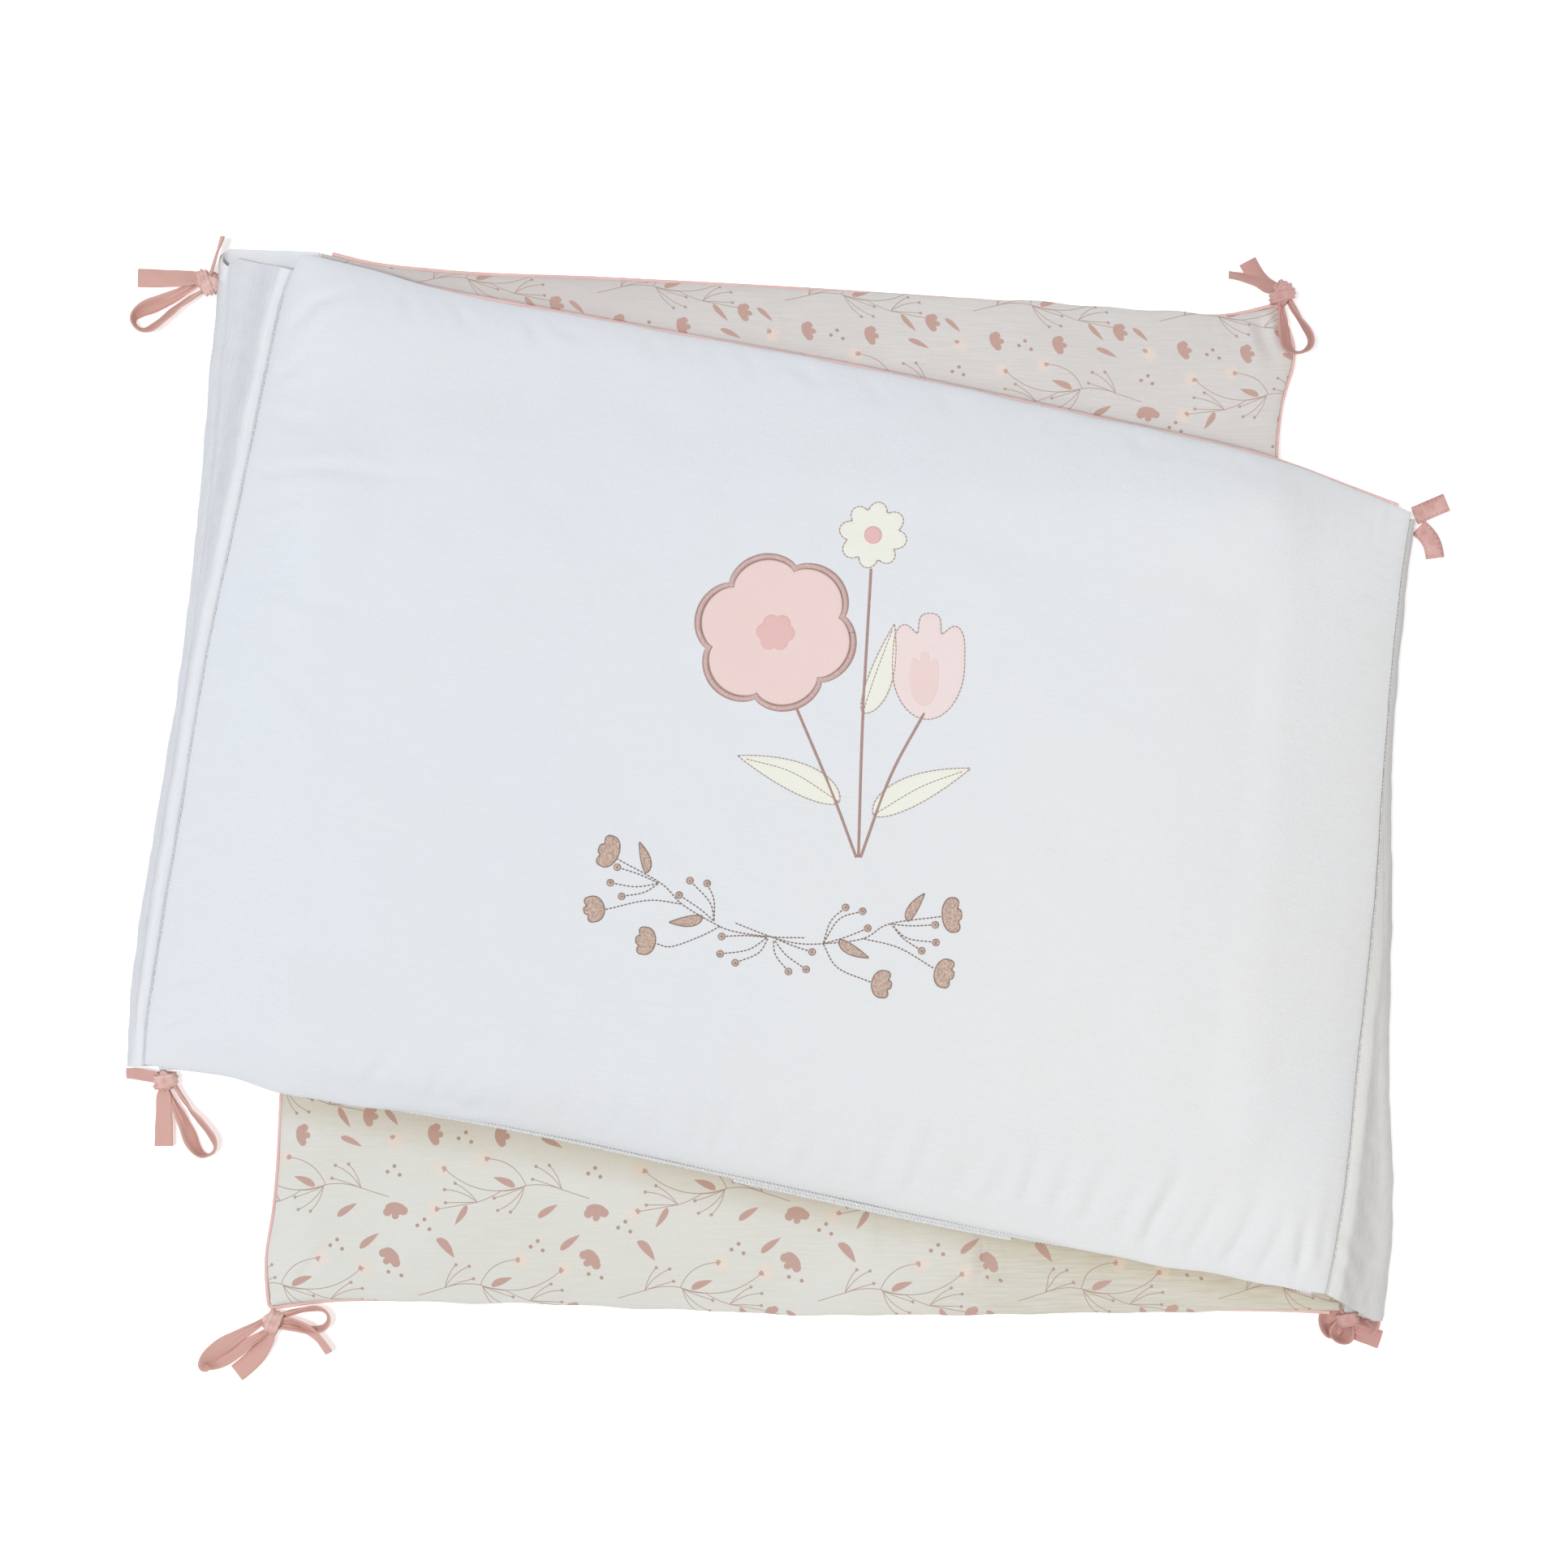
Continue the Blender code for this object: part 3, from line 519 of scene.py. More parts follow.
centrePanel = {
    "node": "centre_panel",
    "topLeft": (-232, 264), "topRight": (301, 141), "bottomLeft": (-307, -124), "bottomRight": (259, -233),
    "top": (-0.4, -1.9, 1.3, 6.2, 7.9, 7.2, 3.2),
    "bottom": (-4.3, -3.7, -5.6, -2.8, -0.1, -1.7, -2),
    "left": (1.9, 3.1, 4.8, 6.8, 5, 4.4, 3.4),
    "right": (1.3, 2.8, 2.7, 2.5, -0.6, -1.9, -1.3),
    "loft": 25,
    "creaseDepth": 3.0,
    "cells": (240, 190),
    "rolls": {"top": (2.2, 1.6, 1.0, 1.5, 1.7, 1.7, 1.7, 1.5, 1),
              "bottom": (1.5, 3.2, 3.8, .9, .7, .9, 3.8, 3.6, 1.5), "left": (.7,) * 9, "right": (.7,) * 9},
    # x, y where a crease starts, x, y where it fades out, half width, depth
    "creases": (
        (-252, 162, -163, 154, 3, .5), (-264, 112, -203, 91, 3.2, .7), (-263, 94, -230, 70, 3, .5),
        (-240, 61, -210, 35, 3.5, .45), (-274, 51, -256, 41, 2.5, .5), (-256, 144, -224, 147, 3, .4),
        (-250, 190, -222, 180, 3, .45), (-244, 205, -220, 217, 3, .5), (-234, 229, -218, 246, 3.4, .7),
        (-226, 225, -211, 245, 2.6, -.4), (-220, 239, -195, 248, 3, .5), (-278, 19, -256, 13, 2.5, .4),
        (-282, -13, -260, -17, 2.5, .35), (-286, -45, -268, -51, 2.5, .35), (-292, -82, -272, -78, 3, .5),
        (-296, -104, -278, -96, 3, .6), (-260, 124, -246, 119, 2, .5), (-257, 136, -244, 138, 2, .4),
        (-270, 76, -252, 68, 2.2, .4),
        (-195, -133, -183, -116, 3, .5), (-167, -140, -157, -120, 3.5, .6), (-155, -145, -139, -142, 4, 1.1),
        (-161, -142, -147, -130, 3, .8), (-133, -146, -123, -130, 3, .5), (-107, -152, -97, -130, 3, .45),
        (-85, -158, -74, -138, 3, .5), (-64, -160, -56, -144, 2.6, .4), (-45, -163, -34, -142, 3, .55),
        (-34, -165, -20, -134, 3.4, .6), (-10, -170, 0, -146, 3, .5), (6, -174, 16, -150, 3, .55),
        (24, -178, 31, -160, 2.6, .45), (40, -180, 51, -154, 3, .55), (59, -183, 71, -150, 3.4, .6),
        (81, -186, 89, -166, 3, .5), (97, -188, 105, -168, 2.6, .5), (112, -190, 120, -162, 3, .7),
        (127, -193, 137, -166, 3, .55), (141, -197, 153, -168, 3.2, .6), (159, -203, 169, -178, 3, .55),
        (172, -209, 187, -168, 3.6, 1.1), (194, -213, 208, -178, 3.4, .6), (212, -218, 226, -186, 3.4, .7),
        (228, -222, 240, -195, 3, .6), (246, -223, 250, -190, 3.4, .7), (258, -219, 261, -174, 3, .6),
        (-119, 232, -115, 221, 3, .7), (-107, 230, -91, 223, 3, .4), (-66, 224, -58, 211, 3, .5),
        (-16, 215, -14, 203, 2.6, .8), (6, 211, 15, 201, 3, .8), (-34, 218, -29, 205, 2.6, .4),
        (38, 205, 48, 190, 3, .4), (71, 200, 81, 186, 3, .4), (121, 192, 127, 178, 3, .45),
        (167, 178, 173, 166, 3, .4), (216, 164, 222, 152, 3, .4), (-155, 239, -147, 225, 3, .45),
        (-179, 243, -175, 227, 3, .4),
        (290, 104, 276, 100, 3, .4), (288, 68, 274, 66, 3, .4), (284, 19, 268, 15, 3, .4),
        (281, -29, 264, -31, 3, .4), (280, -74, 264, -80, 3, .5), (276, -118, 260, -126, 3, .5),
        (273, -158, 260, -162, 3, .5), (269, -190, 258, -195, 3, .5),
    ),
}


def toMetres(x, y, z):
    # places of the tables to the frame's metres
    x = np.asarray(x) - outlineMiddle[0]
    y = np.asarray(y) - outlineMiddle[1]
    return np.stack(np.broadcast_arrays(x, y, z), -1) * mm


def unit(vectors):
    return vectors / np.linalg.norm(vectors, axis=-1, keepdims=True)


def distances(line):
    # how far along a line each of its points lies
    return np.concatenate([[0], np.cumsum(np.linalg.norm(np.diff(line, axis=0), axis=1))])


upwards = np.array((0.0, 0.0, 1.0))


def cornersOf(panel):
    return {name: np.array(panel[name], float) for name in cornerNames}


def smoothTable(stops, heights, t):
    # a smooth curve through the heights at the stops
    stops = np.array(stops, float)
    heights = np.array(heights, float)
    slopes = np.gradient(heights, stops)
    t = np.asarray(t, float)
    k = np.clip(np.searchsorted(stops, t) - 1, 0, len(stops) - 2)
    step = stops[k + 1] - stops[k]
    s = (t - stops[k]) / step
    start = (2 * s**3 - 3 * s**2 + 1) * heights[k] + (s**3 - 2 * s**2 + s) * step * slopes[k]
    end = (3 * s**2 - 2 * s**3) * heights[k + 1] + (s**3 - s**2) * step * slopes[k + 1]
    return start + end


def sideCurve(panel, start, end, side, turn, t):
    # one side of a panel, bowed out by its table
    first = np.array(panel[start], float)
    last = np.array(panel[end], float)
    way = unit(last - first)
    outward = turn * np.array((-way[1], way[0]))
    stand = smoothTable(sideStops, (0, *panel[side], 0), t)
    return first + np.outer(t, last - first) + np.outer(stand, outward)


def plan(panel, u, v):
    # x and y of the panel's point at u from its left and v from its bottom
    u, v = np.broadcast_arrays(np.asarray(u, float), np.asarray(v, float))
    shape = u.shape
    u, v = u.ravel(), v.ravel()
    bottom = sideCurve(panel, "bottomLeft", "bottomRight", "bottom", -1, u)
    top = sideCurve(panel, "topLeft", "topRight", "top", 1, u)
    left = sideCurve(panel, "bottomLeft", "topLeft", "left", 1, v)
    right = sideCurve(panel, "bottomRight", "topRight", "right", -1, v)
    corner = cornersOf(panel)
    u, v = u[:, None], v[:, None]
    ruled = (1 - v) * bottom + v * top + (1 - u) * left + u * right
    flat = (1 - v) * ((1 - u) * corner["bottomLeft"] + u * corner["bottomRight"])
    flat = flat + v * ((1 - u) * corner["topLeft"] + u * corner["topRight"])
    points = (ruled - flat).reshape(*shape, 2)
    return points[..., 0], points[..., 1]


def rounded(distance, radius):
    # a quarter circle's rise from 0 at the edge to 1
    return np.sqrt(1 - (1 - np.clip(distance / radius, 0, 1)) ** 2)


def spans(panel):
    # the panel's mean length and height
    corner = cornersOf(panel)
    length = np.linalg.norm(corner["topRight"] - corner["topLeft"])
    length += np.linalg.norm(corner["bottomRight"] - corner["bottomLeft"])
    height = np.linalg.norm(corner["topLeft"] - corner["bottomLeft"])
    height += np.linalg.norm(corner["topRight"] - corner["bottomRight"])
    return length / 2, height / 2


def swell(panel, u, v, radius):
    length, height = spans(panel)
    return rounded(np.minimum(u, 1 - u) * length, radius) * rounded(np.minimum(v, 1 - v) * height, radius)


def underAndOver(panel, u, v, base, seamHalf):
    # heights of the underside and of the upper face over what carries the panel
    flat = swell(panel, u, v, layering["underRound"])
    full = layering["edgeShare"] * swell(panel, u, v, layering["edgeRound"])
    full = full + (1 - layering["edgeShare"]) * swell(panel, u, v, layering["crownRound"])
    phase = panel["loft"]
    lumps = 0.65 * np.sin(7.1 * u + phase) * np.cos(5.3 * v - 0.7 * phase)
    lumps = lumps + 0.35 * np.sin(15.7 * u - 1.9 * phase) * np.sin(12.9 * v + phase)
    seamUnder = layering["seamHeight"] - seamHalf
    seamOver = layering["seamHeight"] + seamHalf
    under = base + seamUnder * (1 - flat)
    over = base + seamOver + (panel["loft"] + layering["lumpHeight"] * lumps - seamOver) * full
    return under, over


def addToHeap(heap, panel, baseOf):
    # raises the height map to a panel's upper face
    u, v = np.meshgrid(*(np.linspace(0, 1, stops) for stops in layering["heapStops"]), indexing="ij")
    x, y = plan(panel, u, v)
    over = underAndOver(panel, u, v, baseOf(x, y), layering["solidSeamHalf"])[1]
    i = np.rint((x + layering["half"][0]) / layering["cell"]).astype(int)
    j = np.rint((y + layering["half"][1]) / layering["cell"]).astype(int)
    for di in (-1, 0, 1):
        for dj in (-1, 0, 1):
            np.maximum.at(heap, (i + di, j + dj), over)


def settled(heap, least):
    # a heavy padded sheet laid over the heap
    carried = np.maximum(heap, least)
    sheet = np.full_like(carried, carried.max())
    fall = layering["sagCurve"] * mm * layering["cell"] ** 2 / 4
    for _ in range(layering["settlePasses"]):
        around = np.pad(sheet, 1, mode="edge")
        mean = (around[:-2, 1:-1] + around[2:, 1:-1] + around[1:-1, :-2] + around[1:-1, 2:]) / 4
        sheet = np.maximum(carried, mean - fall)
    return sheet


def reader(sheet, lift):
    # reads the sheet's height at x and y, with a smooth curve between its cells
    def weights(t):
        return ((1 - t) ** 3 / 6, (3 * t**3 - 6 * t**2 + 4) / 6,
                (-3 * t**3 + 3 * t**2 + 3 * t + 1) / 6, t**3 / 6)

    def read(x, y):
        i = (np.asarray(x, float) + layering["half"][0]) / layering["cell"]
        j = (np.asarray(y, float) + layering["half"][1]) / layering["cell"]
        i0 = np.clip(np.floor(i).astype(int), 1, sheet.shape[0] - 3)
        j0 = np.clip(np.floor(j).astype(int), 1, sheet.shape[1] - 3)
        across = weights(j - j0)
        total = 0.0
        for di, wi in enumerate(weights(i - i0)):
            for dj, wj in enumerate(across):
                total = total + wi * wj * sheet[i0 + di - 1, j0 + dj - 1]
        return total + lift

    return read


heap = np.zeros([int(2 * half / layering["cell"]) + 1 for half in layering["half"]])
rightBase = reader(heap.copy(), 0.0)
addToHeap(heap, rightPanel, rightBase)
leftBase = reader(settled(heap, 0.0), layering["gap"])
addToHeap(heap, leftPanel, leftBase)
centreSheet = settled(heap, layering["stripThickness"] + layering["stripRoom"])
centreBase = reader(centreSheet, layering["gap"])
evenSheet = centreSheet.copy()
for _ in range(layering["evenPasses"]):
    evenSheet[1:-1] = (evenSheet[:-2] + 2 * evenSheet[1:-1] + evenSheet[2:]) / 4
    evenSheet[:, 1:-1] = (evenSheet[:, :-2] + 2 * evenSheet[:, 1:-1] + evenSheet[:, 2:]) / 4
centrePanel["evened"] = reader(evenSheet, layering["gap"])  # the filling evens out the steps under it
bases = {"left_panel": leftBase, "right_panel": rightBase, "centre_panel": centreBase}
print("layers settled")


# making pieces
def finishPiece(name, bm, finish, cloth, replaces=(), sharpOver=60):
    # faces outwards, cloth coordinates from each vertex, smooth shading, rides on the root body
    bm.verts.index_update()
    places = np.array([cloth.get(vert, (0, 0)) for vert in bm.verts])
    bmesh.ops.recalc_face_normals(bm, faces=bm.faces)
    if bm.calc_volume(signed=True) < 0:
        bmesh.ops.reverse_faces(bm, faces=bm.faces)
    mesh = bpy.data.meshes.new(name)
    bm.to_mesh(mesh)
    bm.free()
    corners = np.zeros(len(mesh.loops), dtype=np.int32)
    mesh.loops.foreach_get("vertex_index", corners)
    mesh.uv_layers.new(name="cloth").data.foreach_set("uv", places[corners].ravel())
    mesh.materials.append(finish.material)
    mesh.shade_smooth()
    mesh.set_sharp_from_angle(angle=math.radians(sharpOver))
    made = bpy.data.objects.new(name, mesh)
    bpy.context.scene.collection.objects.link(made)
    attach(made, "root")
    if replaces:
        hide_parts(*replaces)
    return made


def closedGrid(bm, columns, rows):
    # a sheet of two faces closed round its rim: each vertex, whether it is on top, and its i and j
    before = set(bm.faces)
    grid = bmesh.ops.create_grid(bm, x_segments=columns, y_segments=rows, size=0.5)["verts"]
    faces = [face for face in bm.faces if face not in before]
    grown = bmesh.ops.extrude_face_region(bm, geom=faces, use_keep_orig=True)["geom"]
    top = [part for part in grown if isinstance(part, bmesh.types.BMVert)]
    for verts, isTop in ((grid, False), (top, True)):
        for vert in verts:
            yield vert, isTop, round((vert.co.x + 0.5) * columns), round((vert.co.y + 0.5) * rows)


seamReach = 9.0  # mm from a seam within which the cloth is drawn in
rollHeight = 10.0  # mm over the seam up to which the cloth bulges out
padLooks = {
    "crowd": 0.93,
    "evenReach": 70.0,
    "evenShare": 0.85,
    "waves": ((34, 52, 80), 0.55),
    "fineWaves": ((9, 14, 21), 0.10),
}


def crowdEdges(t, share):
    # steps that lie closer together towards both ends
    return (1 - share) * t + share * (0.5 - 0.5 * np.cos(math.pi * t))


creaseLooks = {
    "width": 0.85,
    "lead": 4,  # mm before a crease's start where it begins to show
    "past": 1.15,  # share of its length where it has faded out
    "rim": 0.45,  # the cloth rises a little on both sides of a crease
    "rimAt": 1.8,
}


def creased(x, y, creases):
    # how far the listed creases lower a surface
    looks = creaseLooks
    lead, past = looks["lead"], looks["past"]
    bentX = x + 1.6 * np.sin(y / 19.0 + 1.3) + 0.7 * np.sin(y / 7.3 + x / 11.0)
    bentY = y + 1.6 * np.sin(x / 23.0 + 0.4) + 0.7 * np.sin(x / 8.1 - y / 13.0)
    total = np.zeros_like(x)
    for x0, y0, x1, y1, half, depth in creases:
        length = math.hypot(x1 - x0, y1 - y0)
        wayX, wayY = (x1 - x0) / length, (y1 - y0) / length
        along = (bentX - x0) * wayX + (bentY - y0) * wayY
        aside = (bentX - x0) * wayY - (bentY - y0) * wayX
        wide = looks["width"] * half * (1 + 0.5 * np.clip(along / length, 0, 1))
        fade = np.clip((along + lead) / (2 * lead), 0, 1) * np.clip(past - along / length, 0, 1)
        fade = np.where((along < -lead) | (along > past * length), 0, fade)
        rim = np.exp(-(((np.abs(aside) - looks["rimAt"] * wide) / wide) ** 2))
        total += depth * (np.exp(-((aside / wide) ** 2)) - looks["rim"] * rim) * fade
    return total


wavesEach = 5


def ripples(x, y, seed, sizes, height):
    # soft uneven waves of the given sizes, in every direction
    draw = np.random.default_rng(seed)
    total = np.zeros_like(x)
    for size in sizes:
        for _ in range(wavesEach):
            turn = draw.uniform(0, 2 * math.pi)
            phase = draw.uniform(0, 2 * math.pi)
            along = x * math.cos(turn) + y * math.sin(turn)
            total += np.sin(along * 2 * math.pi / size + phase) * size**0.5
    return height * total / (wavesEach * sum(s**0.5 for s in sizes)) * 2.2


def seamPuckers(s, d, seed):
    # short uneven gathers square to a seam: s runs along it, d is the distance from it
    draw = np.random.default_rng(seed)
    wave = np.zeros_like(s)
    for size in (6.1, 8.3, 11.7, 16.9):
        wave += np.sin(s * 2 * math.pi / size + draw.uniform(0, 6.28) + 0.05 * d * draw.uniform(-1, 1)) / 4
    strong = 0.45 + 0.55 * np.sin(s / 31.0 + draw.uniform(0, 6.28)) * np.sin(s / 47.0 + draw.uniform(0, 6.28))
    return wave * strong * (1 - np.exp(-d / 2.5)) * np.exp(-d / seamReach)


def arcs(points, axis):
    # distance along the cloth from its middle, along one axis of the grid
    steps = np.linalg.norm(np.diff(points, axis=axis), axis=-1)
    total = np.concatenate([np.zeros_like(np.take(steps, [0], axis)), np.cumsum(steps, axis)], axis)
    return total - np.take(total, [total.shape[axis] // 2], axis)


def rolledOut(panel, u, v, over, base):
    # the upper cloth bulges out over the seams: shifts in x and y by how high each point stands
    length, height = spans(panel)
    risen = np.clip((over - base - layering["seamHeight"] - layering["seamHalf"]) / rollHeight, 0, 1)
    shape = np.sin(math.pi * risen**0.7)
    corner = cornersOf(panel)
    shiftX, shiftY = np.zeros_like(over), np.zeros_like(over)
    sides = {"bottom": ("bottomRight", "bottomLeft", u, v * height),
             "top": ("topLeft", "topRight", u, (1 - v) * height),
             "left": ("bottomLeft", "topLeft", v, u * length),
             "right": ("topRight", "bottomRight", v, (1 - u) * length)}
    for side, (start, end, along, inside) in sides.items():
        way = unit(corner[end] - corner[start])
        amount = smoothTable(sideStops, panel["rolls"][side], along)
        amount = amount * (1 + 0.22 * np.sin(along * 61.0 + len(side)) * np.sin(along * 23.0))
        amount = amount * shape * np.exp(-((inside / seamReach) ** 2))
        shiftX -= way[1] * amount
        shiftY += way[0] * amount
    return shiftX, shiftY


def printPlaces(panel, x, y, cloth):
    # turns and scales the cloth's coordinates so that the print lies as charted
    atX, atY, turn, along, across = panel["print"]
    i, j = np.unravel_index(np.argmin(np.hypot(x - atX, y - atY)), x.shape)
    plans = np.array(((x[i + 2, j] - x[i - 2, j], x[i, j + 2] - x[i, j - 2]),
                      (y[i + 2, j] - y[i - 2, j], y[i, j + 2] - y[i, j - 2]))) * mm
    own = np.stack((cloth[i + 2, j] - cloth[i - 2, j], cloth[i, j + 2] - cloth[i, j - 2]), -1)
    angle = math.radians(-turn)
    wanted = np.array(((along * math.cos(angle), -along * math.sin(angle)),
                       (across * math.sin(angle), across * math.cos(angle))))
    change = wanted @ plans @ np.linalg.inv(own)
    rest = wanted @ (np.array((x[i, j] - atX, y[i, j] - atY)) * mm)
    return (cloth - cloth[i, j]) @ change.T + rest


def paddedPiece(panel, name, finish, puckerHeight):
    # a panel of two cloths and their filling, closed at its seams
    columns, rows = panel["cells"]
    u = crowdEdges(np.linspace(0, 1, columns + 1), padLooks["crowd"])[:, None]
    v = crowdEdges(np.linspace(0, 1, rows + 1), padLooks["crowd"])[None, :]
    u, v = np.broadcast_arrays(u, v)
    x, y = plan(panel, u, v)
    base = bases[panel["node"]](x, y)
    under, over = underAndOver(panel, u, v, base, layering["seamHalf"])
    shiftX, shiftY = rolledOut(panel, u, v, over, base)
    length, height = spans(panel)
    inside = np.minimum(np.minimum(u, 1 - u) * length, np.minimum(v, 1 - v) * height)
    full = 1 - np.exp(-inside / seamReach)
    if "evened" in panel:
        share = np.clip(inside / padLooks["evenReach"], 0, 1) ** 2 * padLooks["evenShare"]
        over = over + share * (panel["evened"](x, y) - base)
    seed = int(panel["loft"])
    for k, (sizes, tall) in enumerate((padLooks["waves"], padLooks["fineWaves"])):
        over = over + full * ripples(x, y, seed + k, sizes, tall)
    for side, (s, d) in enumerate(((u * length, v * height), (u * length, (1 - v) * height),
                                   (v * height, u * length), (v * height, (1 - u) * length))):
        over = over + puckerHeight * seamPuckers(s, d, 10 * seed + side)
    over = over - panel["creaseDepth"] * full * creased(x, y, panel["creases"])
    over = np.maximum(over, under + 2 * layering["seamHalf"])
    upper = toMetres(x + shiftX, y + shiftY, over)
    lower = toMetres(x, y, under)
    upperCloth = np.stack([arcs(upper, 0), arcs(upper, 1)], -1)
    lowerCloth = np.stack([arcs(lower, 0), arcs(lower, 1)], -1)
    if "print" in panel:
        upperCloth = printPlaces(panel, x, y, upperCloth)
    bm = bmesh.new()
    cloth = {}
    for vert, isTop, i, j in closedGrid(bm, columns, rows):
        vert.co = (upper if isTop else lower)[i, j]
        cloth[vert] = (upperCloth if isTop else lowerCloth)[i, j]
    made = finishPiece(name, bm, finish, cloth, (panel["node"],))
    return made


# painted light: bluer towards the upper left and warmer towards the lower right, as the lamps there are
whiteCotton = wovenCotton("white_cotton_cloth", clothLooks["white"], clothLooks["whiteWarm"],
                          paintedLightRamp=(-260, 330))
# painted shade: the right panel's ground darker and yellower towards its right end and under the centre
# panel's lower edge, the left panel's darker towards its left end
rightPrint = printedCotton("printed_cotton_right", (0.697, 0.690, 0.652), (0.560, 0.515, 0.410),
                           (110, 320), (19.7, -0.18, 17.0))
leftPrint = printedCotton("printed_cotton_left", (0.580, 0.530, 0.515), (0.672, 0.652, 0.632), (-440, -80))
rightPad = paddedPiece(rightPanel, "right_panel_pad", rightPrint, 0.8)
leftPad = paddedPiece(leftPanel, "left_panel_pad", leftPrint, 0.8)
centrePad = paddedPiece(centrePanel, "centre_panel_pad", whiteCotton, 0.95)
print("padded panels:", sum(len(pad.data.polygons) for pad in (rightPad, leftPad, centrePad)), "faces")


# the two strips
leftStrip = {
    "node": "left_hinge",
    "under": leftPanel,
    "side": 0.0,
    "reach": (8, 9.5, 11, 12, 12, 20, 28, 31, 36),
    "ends": (0.0, 0.981),
    "shift": (0, 2.3),
    "skew": (0, 9.4),
    "ridge": (2.2, 6.0, 3.4),  # height, how far from the seam, half width
    "trough": (2.2, 17.0, 6.5),
    "creases": ((-236, 217, -262, 221, 2.5, .6), (-240, 194, -268, 190, 2.2, .5),
                (-241, 189, -262, 184, 2, -.4), (-246, 169, -262, 166, 2.4, .5),
                (-232, 240, -258, 246, 3, .6), (-258, 120, -270, 118, 2, .4),
                (-266, 84, -276, 82, 2, .4), (-280, 20, -290, 18, 2, .35), (-290, -40, -300, -41, 2, .35),
                (-302, -100, -312, -102, 2, .4)),
}
rightStrip = {
    "node": "right_hinge",
    "under": rightPanel,
    "side": 1.0,
    "reach": (28, 27.5, 25, 16, 9, 4, 3.5, 3, 3),
    "ends": (0.0, 0.985),
    "shift": (-9, 0),
    "skew": (0, 0),
    "ridge": (1.1, 5.0, 3.5),
    "trough": (0.9, 14.0, 6.0),
    "creases": ((262, -190, 268, -186, 1.6, .7), (266, -205, 284, -222, 2.6, .9),
                (264, -215, 278, -236, 2.2, .8), (274, -190, 288, -214, 2.6, .7),
                (276, -160, 290, -170, 2.6, .5), (278, -120, 288, -126, 2.4, .4),
                (272, -228, 276, -246, 2, .8), (282, -232, 280, -247, 2, .7)),
}
stripCells = {"out": 14, "turn": 12, "back": 10, "rows": 150}
stripLay = {
    "foldRadius": 4.0,
    "fromCentre": 0.3,  # mm from the centre panel's seam, and from the other panel's
    "fromUnder": 0.8,
    "leastOut": 9.0,  # mm that the fold stands out from the lower seam at least
    "under": 0.4,  # mm below the centre panel, over the layers' gap
    "flatWithin": 18.0,  # mm of room within which the fold flattens
    "crowd": 0.3,
    "waves": ((11, 17, 29), 0.35),
    "thinned": 0.8,
}


def seamPoint(panel, u, v, away):
    # a point on the middle of a seam, moved straight out from it
    x, y = plan(panel, u, v)
    innerU, innerV = u + (0.5 - u) * 0.02, v + (0.5 - v) * 0.02
    if u in (0.0, 1.0) and 0.0 < v < 1.0:
        innerV = v
    elif v in (0.0, 1.0) and 0.0 < u < 1.0:
        innerU = u
    innerX, innerY = plan(panel, innerU, innerV)
    outward = unit(np.array((x - innerX, y - innerY)))
    z = bases[panel["node"]](x, y) + layering["seamHeight"]
    return np.array((x + away * outward[0], y + away * outward[1], z), float)


def stripSection(strip, v):
    # the strip's middle line: out from the centre panel's seam, round the fold and back in
    low, high = strip["ends"]
    side = strip["side"]
    sign = 1.0 if side else -1.0
    lay = stripLay
    foldRadius = lay["foldRadius"]
    first = seamPoint(centrePanel, side, low + (high - low) * v, lay["fromCentre"])
    last = seamPoint(strip["under"], side, v, lay["fromUnder"])
    tipX = first[0] + sign * float(smoothTable(sideStops, strip["reach"], v))
    least = last[0] + sign * lay["leastOut"]
    tipX = max(tipX, least) if side else min(tipX, least)
    lowShift, highShift = strip["shift"]
    tipY = (first[1] + last[1]) / 2 + lowShift * (1 - v) ** 3 + highShift * v**3
    below = layering["stripThickness"] / 2 + layering["gap"] + lay["under"]
    tipLow = min(float(centreBase(tipX, tipY)), first[2] - layering["seamHeight"]) - below
    room = abs(tipX - first[0])
    ease = min(1.0, room / lay["flatWithin"]) ** 2
    tipHigh = first[2] + (min(tipLow + 2 * foldRadius, first[2]) - first[2]) * ease
    reach = min(foldRadius, room - 0.6)
    turnX = tipX - sign * reach
    ridge, ridgeAt, ridgeHalf = strip["ridge"]
    trough, troughAt, troughHalf = strip["trough"]
    wide = np.clip((room - 10) / 14, 0, 1)
    points = []
    for k in range(stripCells["out"]):
        t = k / stripCells["out"]
        rise = t * t * (3 - 2 * t)
        off = t * (room - reach)
        shape = ridge * math.exp(-(((off - ridgeAt) / ridgeHalf) ** 2)) * min(1.0, room / 14)
        shape -= wide * trough * math.exp(-(((off - troughAt) / troughHalf) ** 2))
        shape *= math.sin(math.pi * min(1.0, t * 1.02)) ** 0.5
        points.append((first[0] + (turnX - first[0]) * t, first[1] + (tipY - first[1]) * t,
                       first[2] + (tipHigh - first[2]) * rise + shape))
    lowSkew, highSkew = strip["skew"]
    skew = lowSkew * (1 - v) ** 3 + highSkew * v**3
    tipY -= skew / 2
    for k in range(stripCells["turn"] + 1):
        angle = math.pi * k / stripCells["turn"]
        points.append((turnX + sign * reach * math.sin(angle), tipY + skew * k / stripCells["turn"],
                       (tipLow + tipHigh) / 2 + (tipHigh - tipLow) / 2 * math.cos(angle)))
    tipY += skew
    for k in range(1, stripCells["back"] + 1):
        t = k / stripCells["back"]
        x = turnX + (last[0] - turnX) * t
        y = tipY + (last[1] - tipY) * t
        points.append((x, y, min(tipLow + (last[2] - tipLow) * t, float(centreBase(x, y)) - below)))
    return np.array(points)


